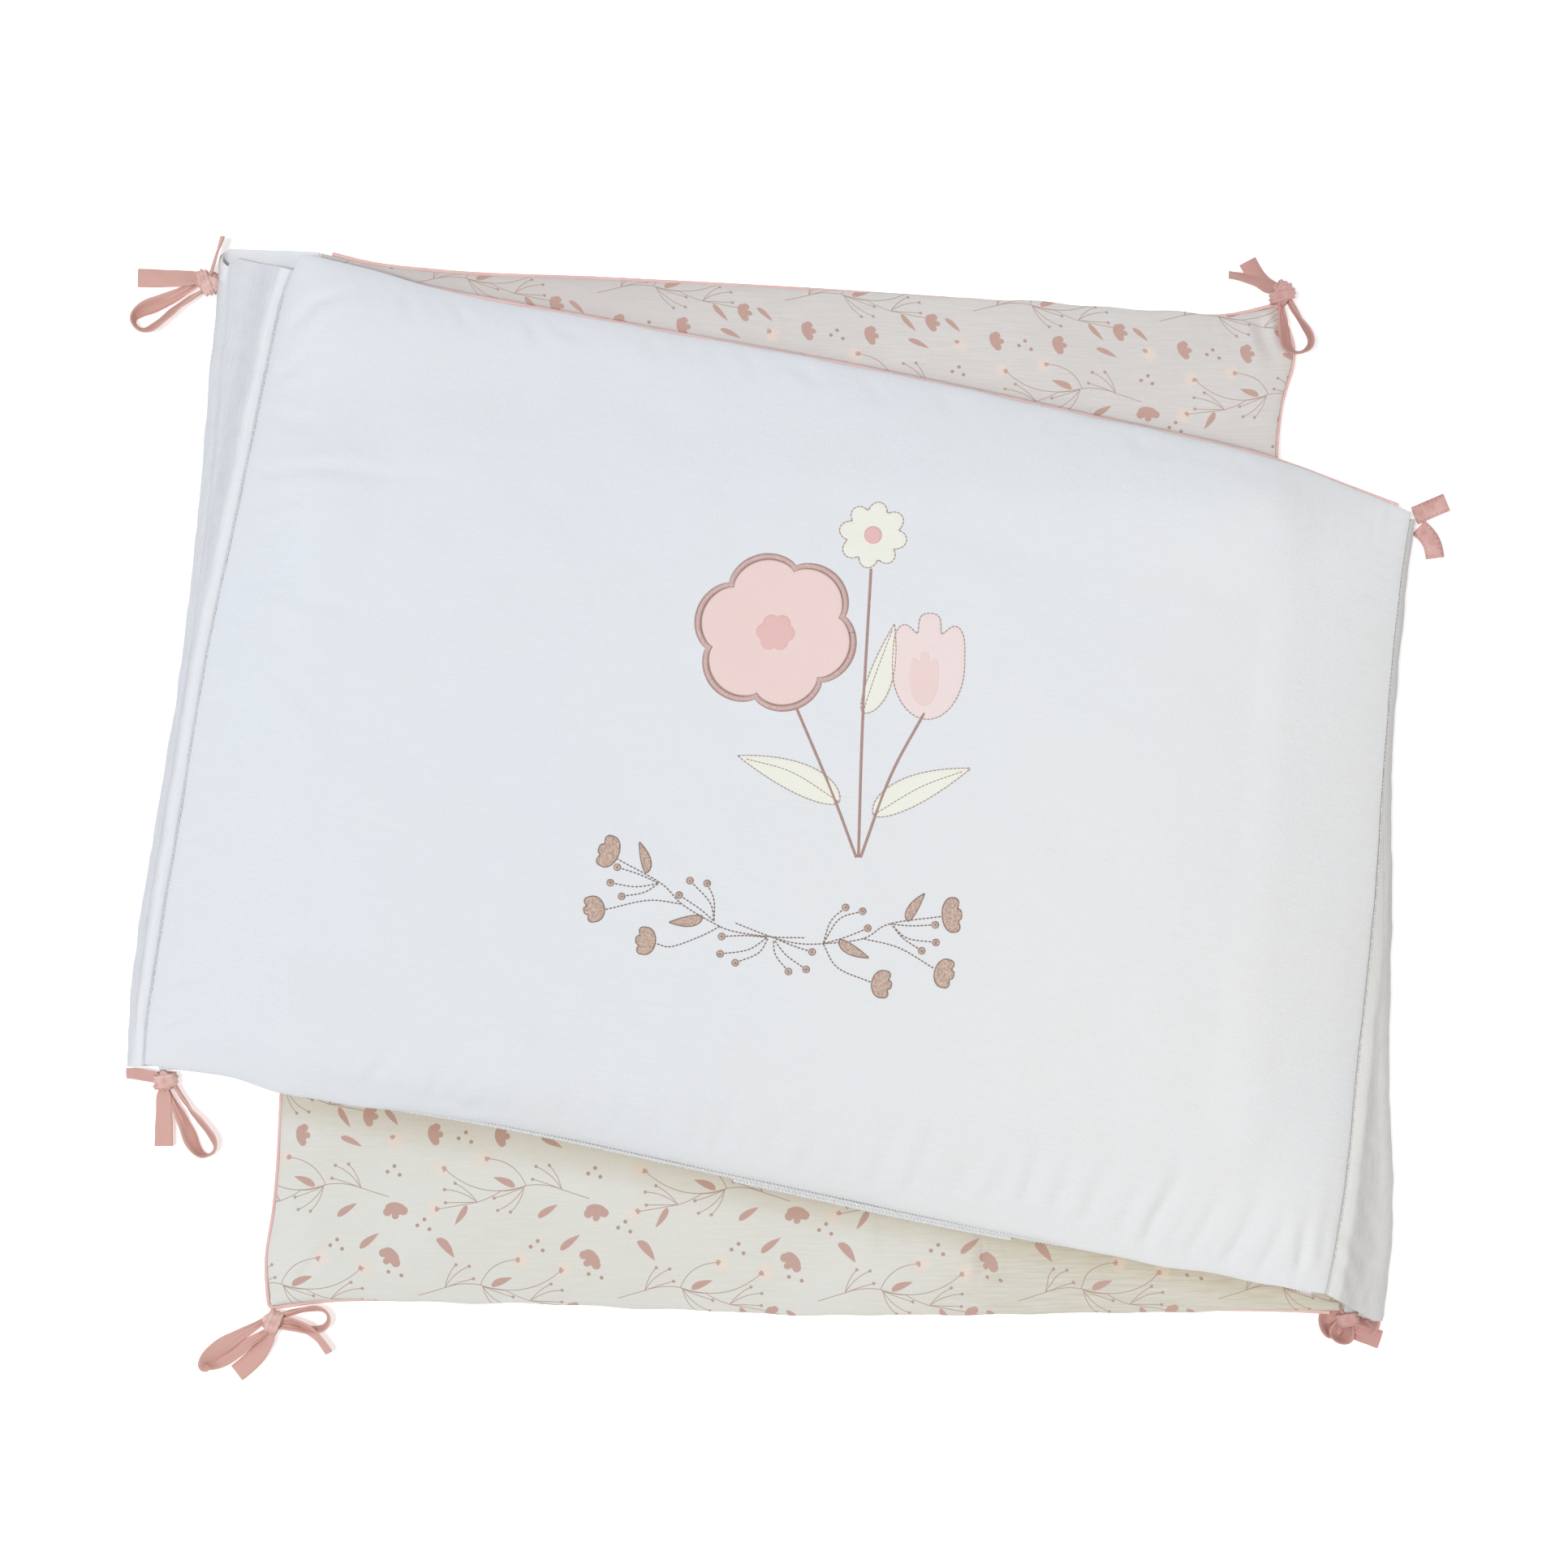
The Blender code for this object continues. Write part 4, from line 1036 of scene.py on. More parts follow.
def stripPiece(strip, name, finish):
    # a strip of thin cloth round its fold; also gives its upper face, the way that looks, and its width
    columns = stripCells["out"] + stripCells["turn"] + stripCells["back"]
    rows = stripCells["rows"]
    stops = crowdEdges(np.linspace(0, 1, rows + 1), stripLay["crowd"])
    middle = np.array([stripSection(strip, v) for v in stops])
    middle = middle.transpose(1, 0, 2)
    face = unit(np.cross(np.gradient(middle, axis=0), np.gradient(middle, axis=1)))
    if face[2, rows // 2, 2] < 0:
        face = -face
    s = arcs(middle, 1)
    fromSeam = arcs(middle, 0)
    fromSeam = fromSeam - fromSeam[:1]
    edge = np.clip(np.arange(columns + 1) / 3, 0, 1)[:, None]
    waves = ripples(s, arcs(middle, 0), 7, *stripLay["waves"])
    wrinkle = edge * (waves - creased(middle[..., 0], middle[..., 1], strip["creases"]))
    middle = middle + face * wrinkle[..., None]
    half = layering["stripThickness"] / 2 * stripLay["thinned"]
    lift = np.maximum(middle[..., 2] - half, 0.3) + half - middle[..., 2]
    middle[..., 2] += lift
    sides = {True: middle + face * half, False: middle - face * half}
    places = np.stack([fromSeam, s - s[:, -1:]], -1) * mm
    bm = bmesh.new()
    cloth = {}
    for vert, isTop, i, j in closedGrid(bm, columns, rows):
        vert.co = toMetres(*sides[isTop][i, j])
        cloth[vert] = places[i, j]
    made = finishPiece(name, bm, finish, cloth, (strip["node"],))
    width = float(arcs(middle, 0).max(0).mean() - arcs(middle, 0).min(0).mean()) * mm
    return made, sides[True], face, width


# cloth of one layer and of two, width of the seam's edge, hem, where the fold lies, painted shade at its top
stripLooks = {
    "left_strip": ((0.640, 0.652, 0.688), (0.765, 0.775, 0.795), 6.5, 9.0, 37.0),
    # painted shade: the right strip's cloth is darker and warmer than the left's, as it turns away from the
    # light
    "right_strip": ((0.578, 0.570, 0.562), (0.695, 0.690, 0.676), 8.0, 0.0, 90.0, 0.5),
}
for strip, name in ((leftStrip, "left_strip"), (rightStrip, "right_strip")):
    made, surface, face, width = stripPiece(strip, name, stripCotton(name + "_cloth", *stripLooks[name]))
    strip["surface"], strip["face"] = surface, face
    print(name, "flat width", round(width, 4), "m")


# shared small makers
def smoothLine(points, steps):
    # even steps along a curve through the points
    points = [np.array(p, float) for p in points]
    padded = [2 * points[0] - points[1], *points, 2 * points[-1] - points[-2]]
    line = []
    for k in range(len(points) - 1):
        a, b, c, d = padded[k : k + 4]
        for s in range(steps):
            t = s / steps
            line.append(0.5 * (2 * b + (c - a) * t + (2 * a - 5 * b + 4 * c - d) * t**2
                               + (3 * b - a - 3 * c + d) * t**3))
    line.append(points[-1])
    return np.array(line)


def evenly(line, gap):
    # points at equal distances along a line
    far = distances(line)
    count = max(2, int(round(far[-1] / gap)) + 1)
    at = np.linspace(0, far[-1], count)
    return np.stack([np.interp(at, far, line[:, k]) for k in range(line.shape[1])], -1)


def ropePoints(line, around, radiusOf, closed=False):
    # a tube's vertices: for every point of the line a ring, radiusOf(k, angle, distance) gives the radius
    way = unit(np.roll(line, -1, 0) - np.roll(line, 1, 0) if closed else np.gradient(line, axis=0))
    aside = unit(np.cross(upwards, way))
    rise = np.cross(way, aside)
    far = distances(line)
    angle = 2 * math.pi * np.arange(around) / around
    radius = radiusOf(far[:, None], angle[None, :])
    ring = aside[:, None] * np.cos(angle)[None, :, None] + rise[:, None] * np.sin(angle)[None, :, None]
    return line[:, None] + ring * radius[..., None], far


def evenRadius(radius):
    return lambda far, angle: radius + 0 * far + 0 * angle


def ropeInto(bm, cloth, line, around, radiusOf, closed=False, flat=1.0):
    # adds a tube along the line to the mesh: a grid rolled up, with its long edges merged
    points, far = ropePoints(line, around, radiusOf, closed)
    if flat != 1.0:
        points[..., 2] = line[:, None, 2] + (points[..., 2] - line[:, None, 2]) * flat
    n = len(line)
    grid = bmesh.ops.create_grid(bm, x_segments=n if closed else n - 1, y_segments=around, size=0.5)["verts"]
    for vert in grid:
        i = round((vert.co.x + 0.5) * (n if closed else n - 1))
        j = round((vert.co.y + 0.5) * around)
        vert.co = toMetres(*points[i % n, j % around])
        cloth[vert] = (far[i % n] * mm, j / around * 2 * math.pi * 1.6 * mm)
    bmesh.ops.remove_doubles(bm, verts=grid, dist=1e-6)
    edges = {e for v in grid if v.is_valid for e in v.link_edges if e.is_boundary}
    if edges:
        bmesh.ops.holes_fill(bm, edges=list(edges), sides=around)


def madeOf(name, parts, finish, replaces=()):
    # one piece out of several tubes: parts are (line, around, radiusOf, closed, flat)
    bm = bmesh.new()
    cloth = {}
    for part in parts:
        ropeInto(bm, cloth, *part)
    return finishPiece(name, bm, finish, cloth, replaces, 70)


# piping and ribbed edging
pipingLooks = {"radius": 1.05, "away": 1.25, "drop": 0.5, "step": 1.2, "around": 12}
pipings = {
    "piping_centre_top": (centrePanel, ((0.012, 1.0), (0.988, 1.0))),
    "piping_left_panel": (leftPanel, ((0.012, 1.0), (1.0, 1.0), (1.0, 0.0), (0.012, 0.0))),
    "piping_right_panel": (rightPanel, ((0.988, 1.0), (0.0, 1.0), (0.0, 0.0), (0.988, 0.0))),
}


def edgeRun(panel, stops, away, drop, steps=150, tucked=0.0):
    # a line beside a panel's seams; it may start tucked in under the cloth
    points = []
    for (u0, v0), (u1, v1) in zip(stops, stops[1:]):
        for k in range(steps):
            t = float(crowdEdges(k / steps, 0.72))
            u, v = u0 + (u1 - u0) * t, v0 + (v1 - v0) * t
            tuck = tucked * math.exp(-((u / 0.14) ** 4))
            points.append(seamPoint(panel, u, v, away - 1.6 * tuck) - (0, 0, 1.2 * tuck))
    points.append(seamPoint(panel, *stops[-1], away))
    return np.array(points) - (0, 0, drop)


def softened(line, passes):
    for _ in range(passes):
        line[1:-1] = (line[:-2] + 2 * line[1:-1] + line[2:]) / 4
    return line


def pipingRadius(far, angle):
    # a covered cord, drawn in a little wherever it is stitched
    pulls = 0.10 * np.sin(far * 2 * math.pi / 7.3 + 0.8 * np.sin(far / 21.0))
    strong = np.clip(np.sin(far / 17.0) + 0.6, 0, 1)
    return pipingLooks["radius"] * (1 - 0.04 + pulls * 0.5 * strong + 0 * angle)


pinkPiping = bandCotton("pink_piping_cloth", (0.800, 0.560, 0.525), (0.770, 0.500, 0.470), stitched=False)
for name, (panel, stops) in pipings.items():
    line = edgeRun(panel, stops, pipingLooks["away"], pipingLooks["drop"], tucked=float(panel is centrePanel))
    line = softened(evenly(line, pipingLooks["step"]), 2)
    madeOf(name + "_cord", [(line, pipingLooks["around"], pipingRadius)], pinkPiping, (name,))

edging = {
    "runs": (((0.012, 0.0), (0.988, 0.0), 1.4, 0.2), ((0.50, 0.0), (0.735, 0.0), 3.0, 0.9)),
    "strand": 0.66, "off": 0.46, "twist": 3.4, "step": 0.6,
}


def edgingPiece(look, finish):
    # thin cords, each of two strands twisted round each other
    parts = []
    for first, last, away, drop in look["runs"]:
        line = softened(evenly(edgeRun(centrePanel, (first, last), away, drop), look["step"]), 3)
        way = unit(np.gradient(line, axis=0))
        aside = np.cross(upwards, way)
        rise = np.cross(way, aside)
        far = np.arange(len(line)) * look["step"]
        for start in (0.0, math.pi):
            turn = far * 2 * math.pi / look["twist"] + start
            strand = line + look["off"] * (aside * np.cos(turn)[:, None] + rise * np.sin(turn)[:, None])
            parts.append((strand, 7, evenRadius(look["strand"])))
    return madeOf("edging_centre_bottom_cord", parts, finish, ("edging_centre_bottom",))


whiteThread = threadFinish("white_thread", (0.90, 0.905, 0.91), (0.82, 0.825, 0.83), 0.7, 0.6)
edgingPiece(edging, whiteThread)
print("piping and edging done")

# stitches beside the centre panel
stitchRows = {
    "left_topstitch": {"gap": 2.1, "away": 0.6, "length": 0.74, "half": 0.6, "lift": 0.6},
    "right_topstitch": {"gap": 2.0, "away": 1.15, "length": 0.72, "half": 0.42, "lift": 0.1},
}


def stitchesPiece(name, places, ways, ups, look, finish):
    # many small capsules, one for each stitch
    bm = bmesh.new()
    for place, way, up in zip(places, ways, ups):
        turn = Matrix((way, np.cross(up, way), up)).transposed().to_4x4()
        turn.translation = Vector(place)
        size = Matrix.Diagonal((look["length"] * mm, look["half"] * mm, look["half"] * mm * 0.8, 1))
        bmesh.ops.create_uvsphere(bm, u_segments=8, v_segments=5, radius=1, matrix=turn @ size)
    cloth = {vert: (vert.co.x, vert.co.y) for vert in bm.verts}
    return finishPiece(name, bm, finish, cloth, sharpOver=89)


def readAlong(at, far, line):
    return np.stack([np.interp(at, far, line[:, c]) for c in range(3)], -1)


for strip, name in ((leftStrip, "left_topstitch"), (rightStrip, "right_topstitch")):
    look = stitchRows[name]
    out = np.linalg.norm(strip["surface"] - strip["surface"][:1], axis=-1)
    row = np.array([[np.interp(look["away"], out[:8, j], strip["surface"][:8, j, c]) for c in range(3)]
                    for j in range(out.shape[1])])
    face = strip["face"][1]
    far = distances(row)
    draw = np.random.default_rng(11)
    at = np.arange(far[-1] * 0.045, far[-1] * 0.965, look["gap"])
    at = at + draw.uniform(-0.35, 0.35, len(at))
    places = readAlong(at, far, row)
    ups = readAlong(at, far, face)
    ways = unit(readAlong(at + 1, far, row) - places)
    ups = unit(ups - (ups * ways).sum(1, keepdims=True) * ways)
    places = toMetres(*(places + ups * look["lift"]).T)
    stitchesPiece(name, places, ways, ups, look, whiteThread)
print("topstitching done")

# ties
tieLooks = {
    "width": bandWidth, "thickness": 1.5, "gatherLength": 0.28, "gathered": 0.34, "neck": 2.4, "clear": 0.4,
    "across": 10, "knot": (10.0, 8.4, 6.6), "wrapWidth": 6.6, "wrap": (5.3, 4.1),
    "wrapLength": 28.0,  # mm of band in one turn of a knot
    "step": 0.8,
}
ties = {
    # way: points from the seam to the knot, and how far the band stands on its edge there, in degrees
    # loops: heading, length, breadth, tilt of the first strand, the tip and the last strand,
    #        height of what carries them, how near the tip it is widest, how far the last strand lies higher
    # tails: heading, length, bend, tilt, height of what carries them, where it starts from the knot
    # deep: the tie gets the darker copy of the pink cloth, painted shade
    "tie_left_top": {
        "way": ((-270.5, 274, 8), (-273.5, 264, 9), (-277, 252.5, 7)),
        "wayTilt": 78,
        "slants": (35, -12),
        "loops": ((210, 41.5, 7.5, (72, 88, 22), 0, 2.4, 0.6),),
        "tails": ((179, 34.5, 0, 5, 3.0, (0, 1.5)),),
    },
    "tie_left_bottom": {
        "way": ((-317, -129, 5), (-308, -130, 5), (-298, -132, 6)),
        "wayTilt": 50,
        "slants": (-25,),
        "loops": ((301, 42, 7.5, (78, 88, 32), 0, 2.2, 0.4),),
        "tails": ((270, 32, 0, 5, 2.5, (-1, 0)),),
    },
    "tie_right_top": {
        "deep": True,
        "way": ((305.2, 140, 2),),
        "loops": (),
        "tails": ((23, 17.0, 0, 4, 0, (-1, 0)), (298, 17, 2, 8, 0, (1.0, -5.5))),
    },
    "tie_right_bottom": {
        "deep": True,
        "way": ((284, -250.5, 4), (279, -248.5, 5), (271.5, -246.8, 5)),
        "wayTilt": 55,
        "slants": (80,),
        "loops": ((197, 12.0, 3.4, (14, 58, 12), 0, 0.0, 1.6), (350, 13.0, 3.8, (14, 58, 12), 1.5, 0.0, 1.6),
                  (250, 11.0, 3.0, (48, 72, 36), 0, 0.3, 0.0)),
        "tails": ((342, 15.0, 0, 6, 0, (2.0, -6.2)),),
    },
    "tie_left_panel": {
        "deep": True,
        "way": ((240, 240, 12), (239, 243, 13), (239, 246.5, 14)),
        "wayTilt": 55,
        "slants": (48, -8),
        "loops": ((289, 30, 9.5, (84, 88, 34), 9, 1.3, 0.5),),
        "tails": ((134, 22.5, 2, 10, 3, (0, 0)), (157, 26, -2, 62, 3, (-1, -1))),
    },
    "tie_right_panel": {
        "way": ((-247.5, -244.5, 5), (-247, -246, 6), (-246.3, -248.3, 6)),
        "wayTilt": 55,
        "slants": (-30,),
        "loops": ((3, 27, 7.5, (70, 84, 66), 0, 0.6, 0.0), (212, 39, 1.6, (24, 62, 14), 0, 0.0, 2.4)),
        "tails": ((330, 31, 5, 66, 0, (0, 0)), (235, 31, 3, 8, 0, (0, 0))),
    },
}


def restHeight(tilt, floor):
    # how high a band's middle lies over what carries it
    standing = tieLooks["width"] / 2 * math.sin(math.radians(tilt))
    return floor + standing + tieLooks["thickness"] / 2 + tieLooks["clear"]


def headingAxes(heading):
    turn = math.radians(heading)
    return np.array((math.cos(turn), math.sin(turn), 0)), np.array((-math.sin(turn), math.cos(turn), 0))


def tailLine(knot, heading, length, bend, tilt, floor, steps=34):
    # a free end, from the knot to its tip
    way, aside = headingAxes(heading)
    line = []
    for k in range(steps + 1):
        t = k / steps
        point = knot + way * length * t + aside * bend * math.sin(math.pi * t)
        point[2] = knot[2] + (restHeight(tilt, floor) - knot[2]) * min(1.0, 1.6 * t) ** 0.7
        line.append(point)
    return softened(np.array(line), 4)


def loopTilt(t, tilts):
    # a band stands on its edge where it turns back
    first, tip, last = tilts
    plain = first + (last - first) * t
    return plain + (tip - plain) * np.exp(-(((t - 0.5) / 0.15) ** 2))


def loopLine(knot, heading, length, breadth, tilts, floor, late, over, steps=84):
    # an ear of a bow, out from the knot and back to it
    way, aside = headingAxes(heading)
    widest = 2 * ((1 + late) / (2 + late)) ** ((1 + late) / 2) / math.sqrt(2 + late)
    line = []
    for k in range(steps + 1):
        t = k / steps
        out = math.sin(math.pi * t)
        spread = tieLooks["neck"] * math.cos(math.pi * t)
        spread += breadth / widest * out ** (1 + late) * math.cos(math.pi * t)
        point = knot + way * length * out + aside * spread
        down = min(1.0, out / 0.6)
        rest = restHeight(float(loopTilt(t, tilts)), floor) + over * min(1.0, max(0.0, (t - 0.45) / 0.2))
        point[2] = knot[2] + (rest - knot[2]) * down
        line.append(point)
    return softened(np.array(line), 4)


def bandInto(bm, cloth, line, tilts, inKnot, seed, width=bandWidth, wound=None, pleats=0.0):
    # a flat sewn band along the line: rounded edges, a shallow hollow along its middle, soft creases
    look = tieLooks
    last, across = len(line) - 1, look["across"]
    way = unit(np.gradient(line, axis=0))
    aside = unit(np.cross(upwards, way))
    rise = np.cross(way, aside)
    t = np.linspace(0, 1, last + 1)
    tilt = loopTilt(t, tilts) if len(tilts) == 3 else tilts[0] + (tilts[1] - tilts[0]) * t
    turn = np.radians(tilt)[:, None]
    wide = aside * np.cos(turn) + rise * np.sin(turn)
    if wound is not None:
        wide = np.tile(wound, (last + 1, 1))
    face = np.cross(way, wide)
    near = np.minimum(t if inKnot[0] else 1.0, 1.0 - t if inKnot[1] else 1.0) + 0 * t
    ease = np.minimum(1.0, near / look["gatherLength"])
    share = look["gathered"] + (1 - look["gathered"]) * ease * ease * (3 - 2 * ease)
    far = distances(line)
    side = 2 * np.linspace(0, 1, across + 1) - 1
    edge = np.sqrt(np.clip(1 - side**6, 0, 1)) * 0.8 + 0.2
    draw = np.random.default_rng(seed)
    phase = draw.uniform(0, 6.28, 4)
    folds = (1 - share)[:, None] * 1.1 * np.cos(side * 2.5 * math.pi)[None, :]
    hollow = 0.25 * np.cos(side * math.pi)[None, :] * np.sin(far / 9.0 + phase[0])[:, None]
    crumple = 0.28 * np.sin(far[:, None] / 2.6 + 2.1 * side[None, :] + phase[1])
    crumple = crumple * np.sin(far / 6.5 + phase[2])[:, None]
    offset = folds * 0.6 + hollow + crumple + pleats * np.cos(side * 2.6 * math.pi + phase[3])[None, :]
    centre = line[:, None] + wide[:, None] * (side[None, :, None] * (width / 2) * share[:, None, None])
    centre = centre + face[:, None] * offset[..., None]
    half = look["thickness"] / 2 * edge[None, :, None] * 0.85
    flatTop = centre + face[:, None] * half
    flatLow = centre - face[:, None] * half
    for layer in (flatTop, flatLow):
        layer[..., 2] = np.maximum(layer[..., 2], look["clear"])
    hemAway = 0 if inKnot[0] > inKnot[1] else 300  # only a tail's end has a hem
    for vert, isTop, i, j in closedGrid(bm, last, across):
        vert.co = toMetres(*(flatTop if isTop else flatLow)[i, j])
        cloth[vert] = ((far[i] - far[-1] - hemAway) * mm, side[j] * width / 2 * mm)


def knotInto(bm, cloth, centre, heading, slants, seed):
    # cloth gathered to a lump, and the band that is wound round it
    ball = bmesh.ops.create_icosphere(bm, subdivisions=4, radius=0.5)["verts"]
    turn = math.radians(heading)
    sizes = tieLooks["knot"]
    for vert in ball:
        x, y, z = vert.co * 2
        around = math.atan2(z, y)
        groove = 0.12 * math.sin(3 * around + 2.4 * x + seed)
        groove += 0.07 * math.sin(7 * around - 3.0 * x + 2 * seed)
        px, py, pz = (c * size / 2 * (1 + groove) for c, size in zip((x, y, z), sizes))
        vert.co = toMetres(centre[0] + px * math.cos(turn) - py * math.sin(turn),
                           centre[1] + px * math.sin(turn) + py * math.cos(turn),
                           max(centre[2] + pz, tieLooks["clear"]))
        cloth[vert] = (x * 4 * mm - 0.3, around * 1.2 * mm)
    for k, slant in enumerate(slants):
        way, aside = headingAxes(heading + slant)
        halfWide, halfTall = (size + 0.5 * k for size in tieLooks["wrap"])
        angle = np.radians(np.linspace(-110, 262, 56))
        ring = centre + np.outer(halfWide * np.cos(angle), aside)
        ring = ring + np.outer(halfTall * np.sin(angle), upwards)
        ring = ring + np.outer(0.9 * np.sin(angle / 2) + k, way)
        wide = tieLooks["wrapWidth"] - 1.2 * k
        bandInto(bm, cloth, ring, (0, 0), (False, False), seed + k, wide, way, 0.42)


def tiePiece(name, tie, finish, seed):
    # one tie: the band from its seam to the knot, the ears, the free ends and the knot
    bm = bmesh.new()
    cloth = {}
    knot = np.array(tie["way"][-1], float)
    length = 0.0
    knotted = bool(tie["loops"])
    if len(tie["way"]) > 1:
        line = softened(evenly(smoothLine(tie["way"], 20), tieLooks["step"]), 3)
        bandInto(bm, cloth, line, (tie["wayTilt"],) * 2, (False, True), seed)
        length += len(line) * tieLooks["step"]
    for k, (heading, far, breadth, tilts, floor, late, over) in enumerate(tie["loops"]):
        line = loopLine(knot, heading, far, breadth, tilts, floor, late, over)
        bandInto(bm, cloth, line, tilts, (True, True), seed + 3 + k)
        length += float(np.linalg.norm(np.diff(line, axis=0), axis=1).sum())
    for k, (heading, far, bend, tilt, floor, (fromX, fromY)) in enumerate(tie["tails"]):
        line = tailLine(knot + (fromX, fromY, 0), heading, far, bend, tilt, floor)
        bandInto(bm, cloth, line, (40 if knotted else tilt, tilt), (knotted, False), seed + 7 + k)
        length += far
    if knotted:
        knotInto(bm, cloth, knot, tie["loops"][0][0], tie["slants"], seed)
        length += tieLooks["wrapLength"] * len(tie["slants"])
    made = finishPiece(name + "_band", bm, finish, cloth, (name,), 75)
    round(length * mm, 3)
    print(name, "band length", round(length), "mm")


floorLooks = {"size": 6.0, "colour": (0.95, 0.95, 0.95), "glow": 0.38}


def floorPiece(look):
    # the plain ground under the bumper, which isn't part of it
    bm = bmesh.new()
    bmesh.ops.create_grid(bm, x_segments=1, y_segments=1, size=look["size"] / 2)
    mesh = bpy.data.meshes.new("floor")
    bm.to_mesh(mesh)
    bm.free()
    finish = Finish("floor_paper", look["colour"], 0.9)
    grain = finish.noise(finish.node("ShaderNodeTexCoord", {}, {}, out=3), 3.0, 2.0)
    finish.put("Base Color", finish.mix(grain, look["colour"], lighter(look["colour"], 1.01)))
    finish.put("Emission Color", (1.0, 1.0, 1.0, 1))
    finish.put("Emission Strength", look["glow"])
    mesh.materials.append(finish.material)
    made = bpy.data.objects.new("floor", mesh)
    bpy.context.scene.collection.objects.link(made)


floorPiece(floorLooks)
pinkCotton = bandCotton("pink_tie_cloth", clothLooks["pink"], (0.560, 0.300, 0.245))
# painted shade: a darker copy of the pink tie cloth, for the ties on the right-hand side where less light
# falls
shadedPinkCotton = bandCotton("shaded_pink_tie_cloth", (0.690, 0.425, 0.400), (0.490, 0.262, 0.226))
for k, (name, tie) in enumerate(ties.items()):
    tiePiece(name, tie, shadedPinkCotton if tie.get("deep") else pinkCotton, 20 + 5 * k)
print("ties done")

# embroidery on the centre panel
centreTree = BVHTree.FromPolygons([vert.co[:] for vert in centrePad.data.vertices],
                                  [face.vertices[:] for face in centrePad.data.polygons])


def onPanel(x, y):
    # the cloth's point above x and y of the tables, and which way it faces
    start = Vector(toMetres(x, y, 200.0))
    place, normal, _, _ = centreTree.ray_cast(start, Vector((0, 0, -1)))
    return np.array(place), np.array(normal)


def overPanel(places, lift):
    # places on the panel, a little raised, in the tables' millimetres
    points = []
    for x, y in places:
        place, normal = onPanel(x, y)
        x, y, z = place + normal * lift * mm
        points.append((x / mm + outlineMiddle[0], y / mm + outlineMiddle[1], z / mm))
    return np.array(points)


garland = {
    "stems": (
        ((-23.1, -54.8), (-6, -61.4), (6, -64.4), (18.4, -64.6), (37.3, -62.2), (49.5, -55.3), (74, -51.8)),
        ((9.8, -61.8), (-6, -61.4), (-23.8, -58.8), (-32.9, -55.1), (-48.2, -45.9), (-57.9, -36.2),
         (-79.3, -24.3)),
        ((18.4, -64.6), (22, -54), (29, -47.5)), ((18.4, -64.6), (26, -53), (37, -49.3)),
        ((18.4, -64.6), (29, -61.5), (39.4, -57.3)), ((18.4, -64.6), (25.1, -75.8), (41, -82.8)),
        ((37.3, -62.2), (54, -66.5), (70.5, -76.2)), ((49.5, -55.3), (60, -56.2), (71.2, -55.7)),
        ((51, -56), (58, -62), (71.5, -64)), ((51, -56), (56, -62), (64.8, -67.9)),
        ((-6, -61.4), (4, -65.5), (13.2, -68.5)), ((-4.5, -63), (1, -70), (10.4, -76.7)),
        ((-5, -63), (-4, -70), (2.1, -77.7)), ((-32.9, -54), (-35, -45), (-44.3, -34.9)),
        ((-32.9, -54), (-33, -44), (-36.2, -36.2)), ((-32.9, -54), (-40, -48), (-49.4, -41.7)),
        ((-48.2, -45.9), (-64, -44.2), (-84.4, -48.6)),
        ((-29.9, -56.3), (-39, -61), (-53, -66), (-60, -64.6)),
        ((-59, -36.2), (-68, -32), (-78.5, -28.6)), ((-59, -36.2), (-70, -37.8), (-81.8, -35.9)),
        ((-59, -36.2), (-66, -40.5), (-76.5, -42.3)), ((-8, -61.6), (-18, -60.8), (-29.4, -61.2)),
        ((-8, -61.8), (-17, -67.5), (-30.1, -69.4)), ((-7.5, -62), (-12, -69), (-23, -73.6)),
    ),
    "berries": ((29, -47.5), (37, -49.3), (39.4, -57.3), (71.2, -55.7), (71.5, -64), (64.8, -67.9),
                (13.2, -68.5), (10.4, -76.7), (2.1, -77.7), (-44.3, -34.9), (-36.2, -36.2),
                (-49.4, -41.7), (-78.5, -28.6),
                (-81.8, -35.9), (-76.5, -42.3), (-29.4, -61.2), (-30.1, -69.4), (-23, -73.6)),
    # foot, tip, share of the length that the left and the right edge stand out
    "leaves": (((58.3, -54.1), (66.3, -40.8), 0.24, 0.08), ((26.1, -62.7), (40, -71.3), 0.08, 0.24),
               ((-64.9, -31.3), (-68.2, -16.6), 0.08, 0.25), ((-38.4, -51.7), (-54.3, -54.5), 0.25, 0.08)),
    # middle, the way it opens in degrees, half length, half width
    "heads": ((79.0, -51.1, 3, 4.6, 8.2), (75.4, -78.5, -14, 4.6, 6.8), (45.9, -83.6, -8, 4.7, 6.5),
              (-82.6, -21.3, 157, 4.9, 7.6), (-89.5, -48.2, 192, 4.9, 6.1), (-65.2, -63.3, 172, 4.7, 6.5)),
    "stitch": {"gap": 1.85, "length": 0.80, "half": 0.36},
    "outline": {"gap": 1.15, "length": 0.66, "half": 0.31},
    "cross": {"gap": 1.3, "length": 0.60, "half": 0.24},
    "berryRadius": 1.6,
}


domeSunk = 0.15  # mm that a raised patch reaches into the cloth


def domeInto(bm, cloth, shapeOf, height, around, rings):
    # a raised closed patch that follows the cloth: shapeOf(angle) gives its outline around a middle
    ball = bmesh.ops.create_uvsphere(bm, u_segments=around, v_segments=rings * 2, radius=1)["verts"]
    middle = shapeOf(None)
    for vert in ball:
        px, py, pz = vert.co
        out = min(1.0, math.hypot(px, py))
        angle = math.atan2(py, px)
        ex, ey = shapeOf(angle)
        share = math.sin(out * math.pi / 2) if out < 0.999 else 1.0
        x = middle[0] + (ex - middle[0]) * share
        y = middle[1] + (ey - middle[1]) * share
        place, normal = onPanel(x, y)
        up = height * max(0.0, pz) ** 0.6 if pz > 0 else 0.0
        vert.co = place + normal * (up - domeSunk) * mm
        cloth[vert] = (x * mm, y * mm)


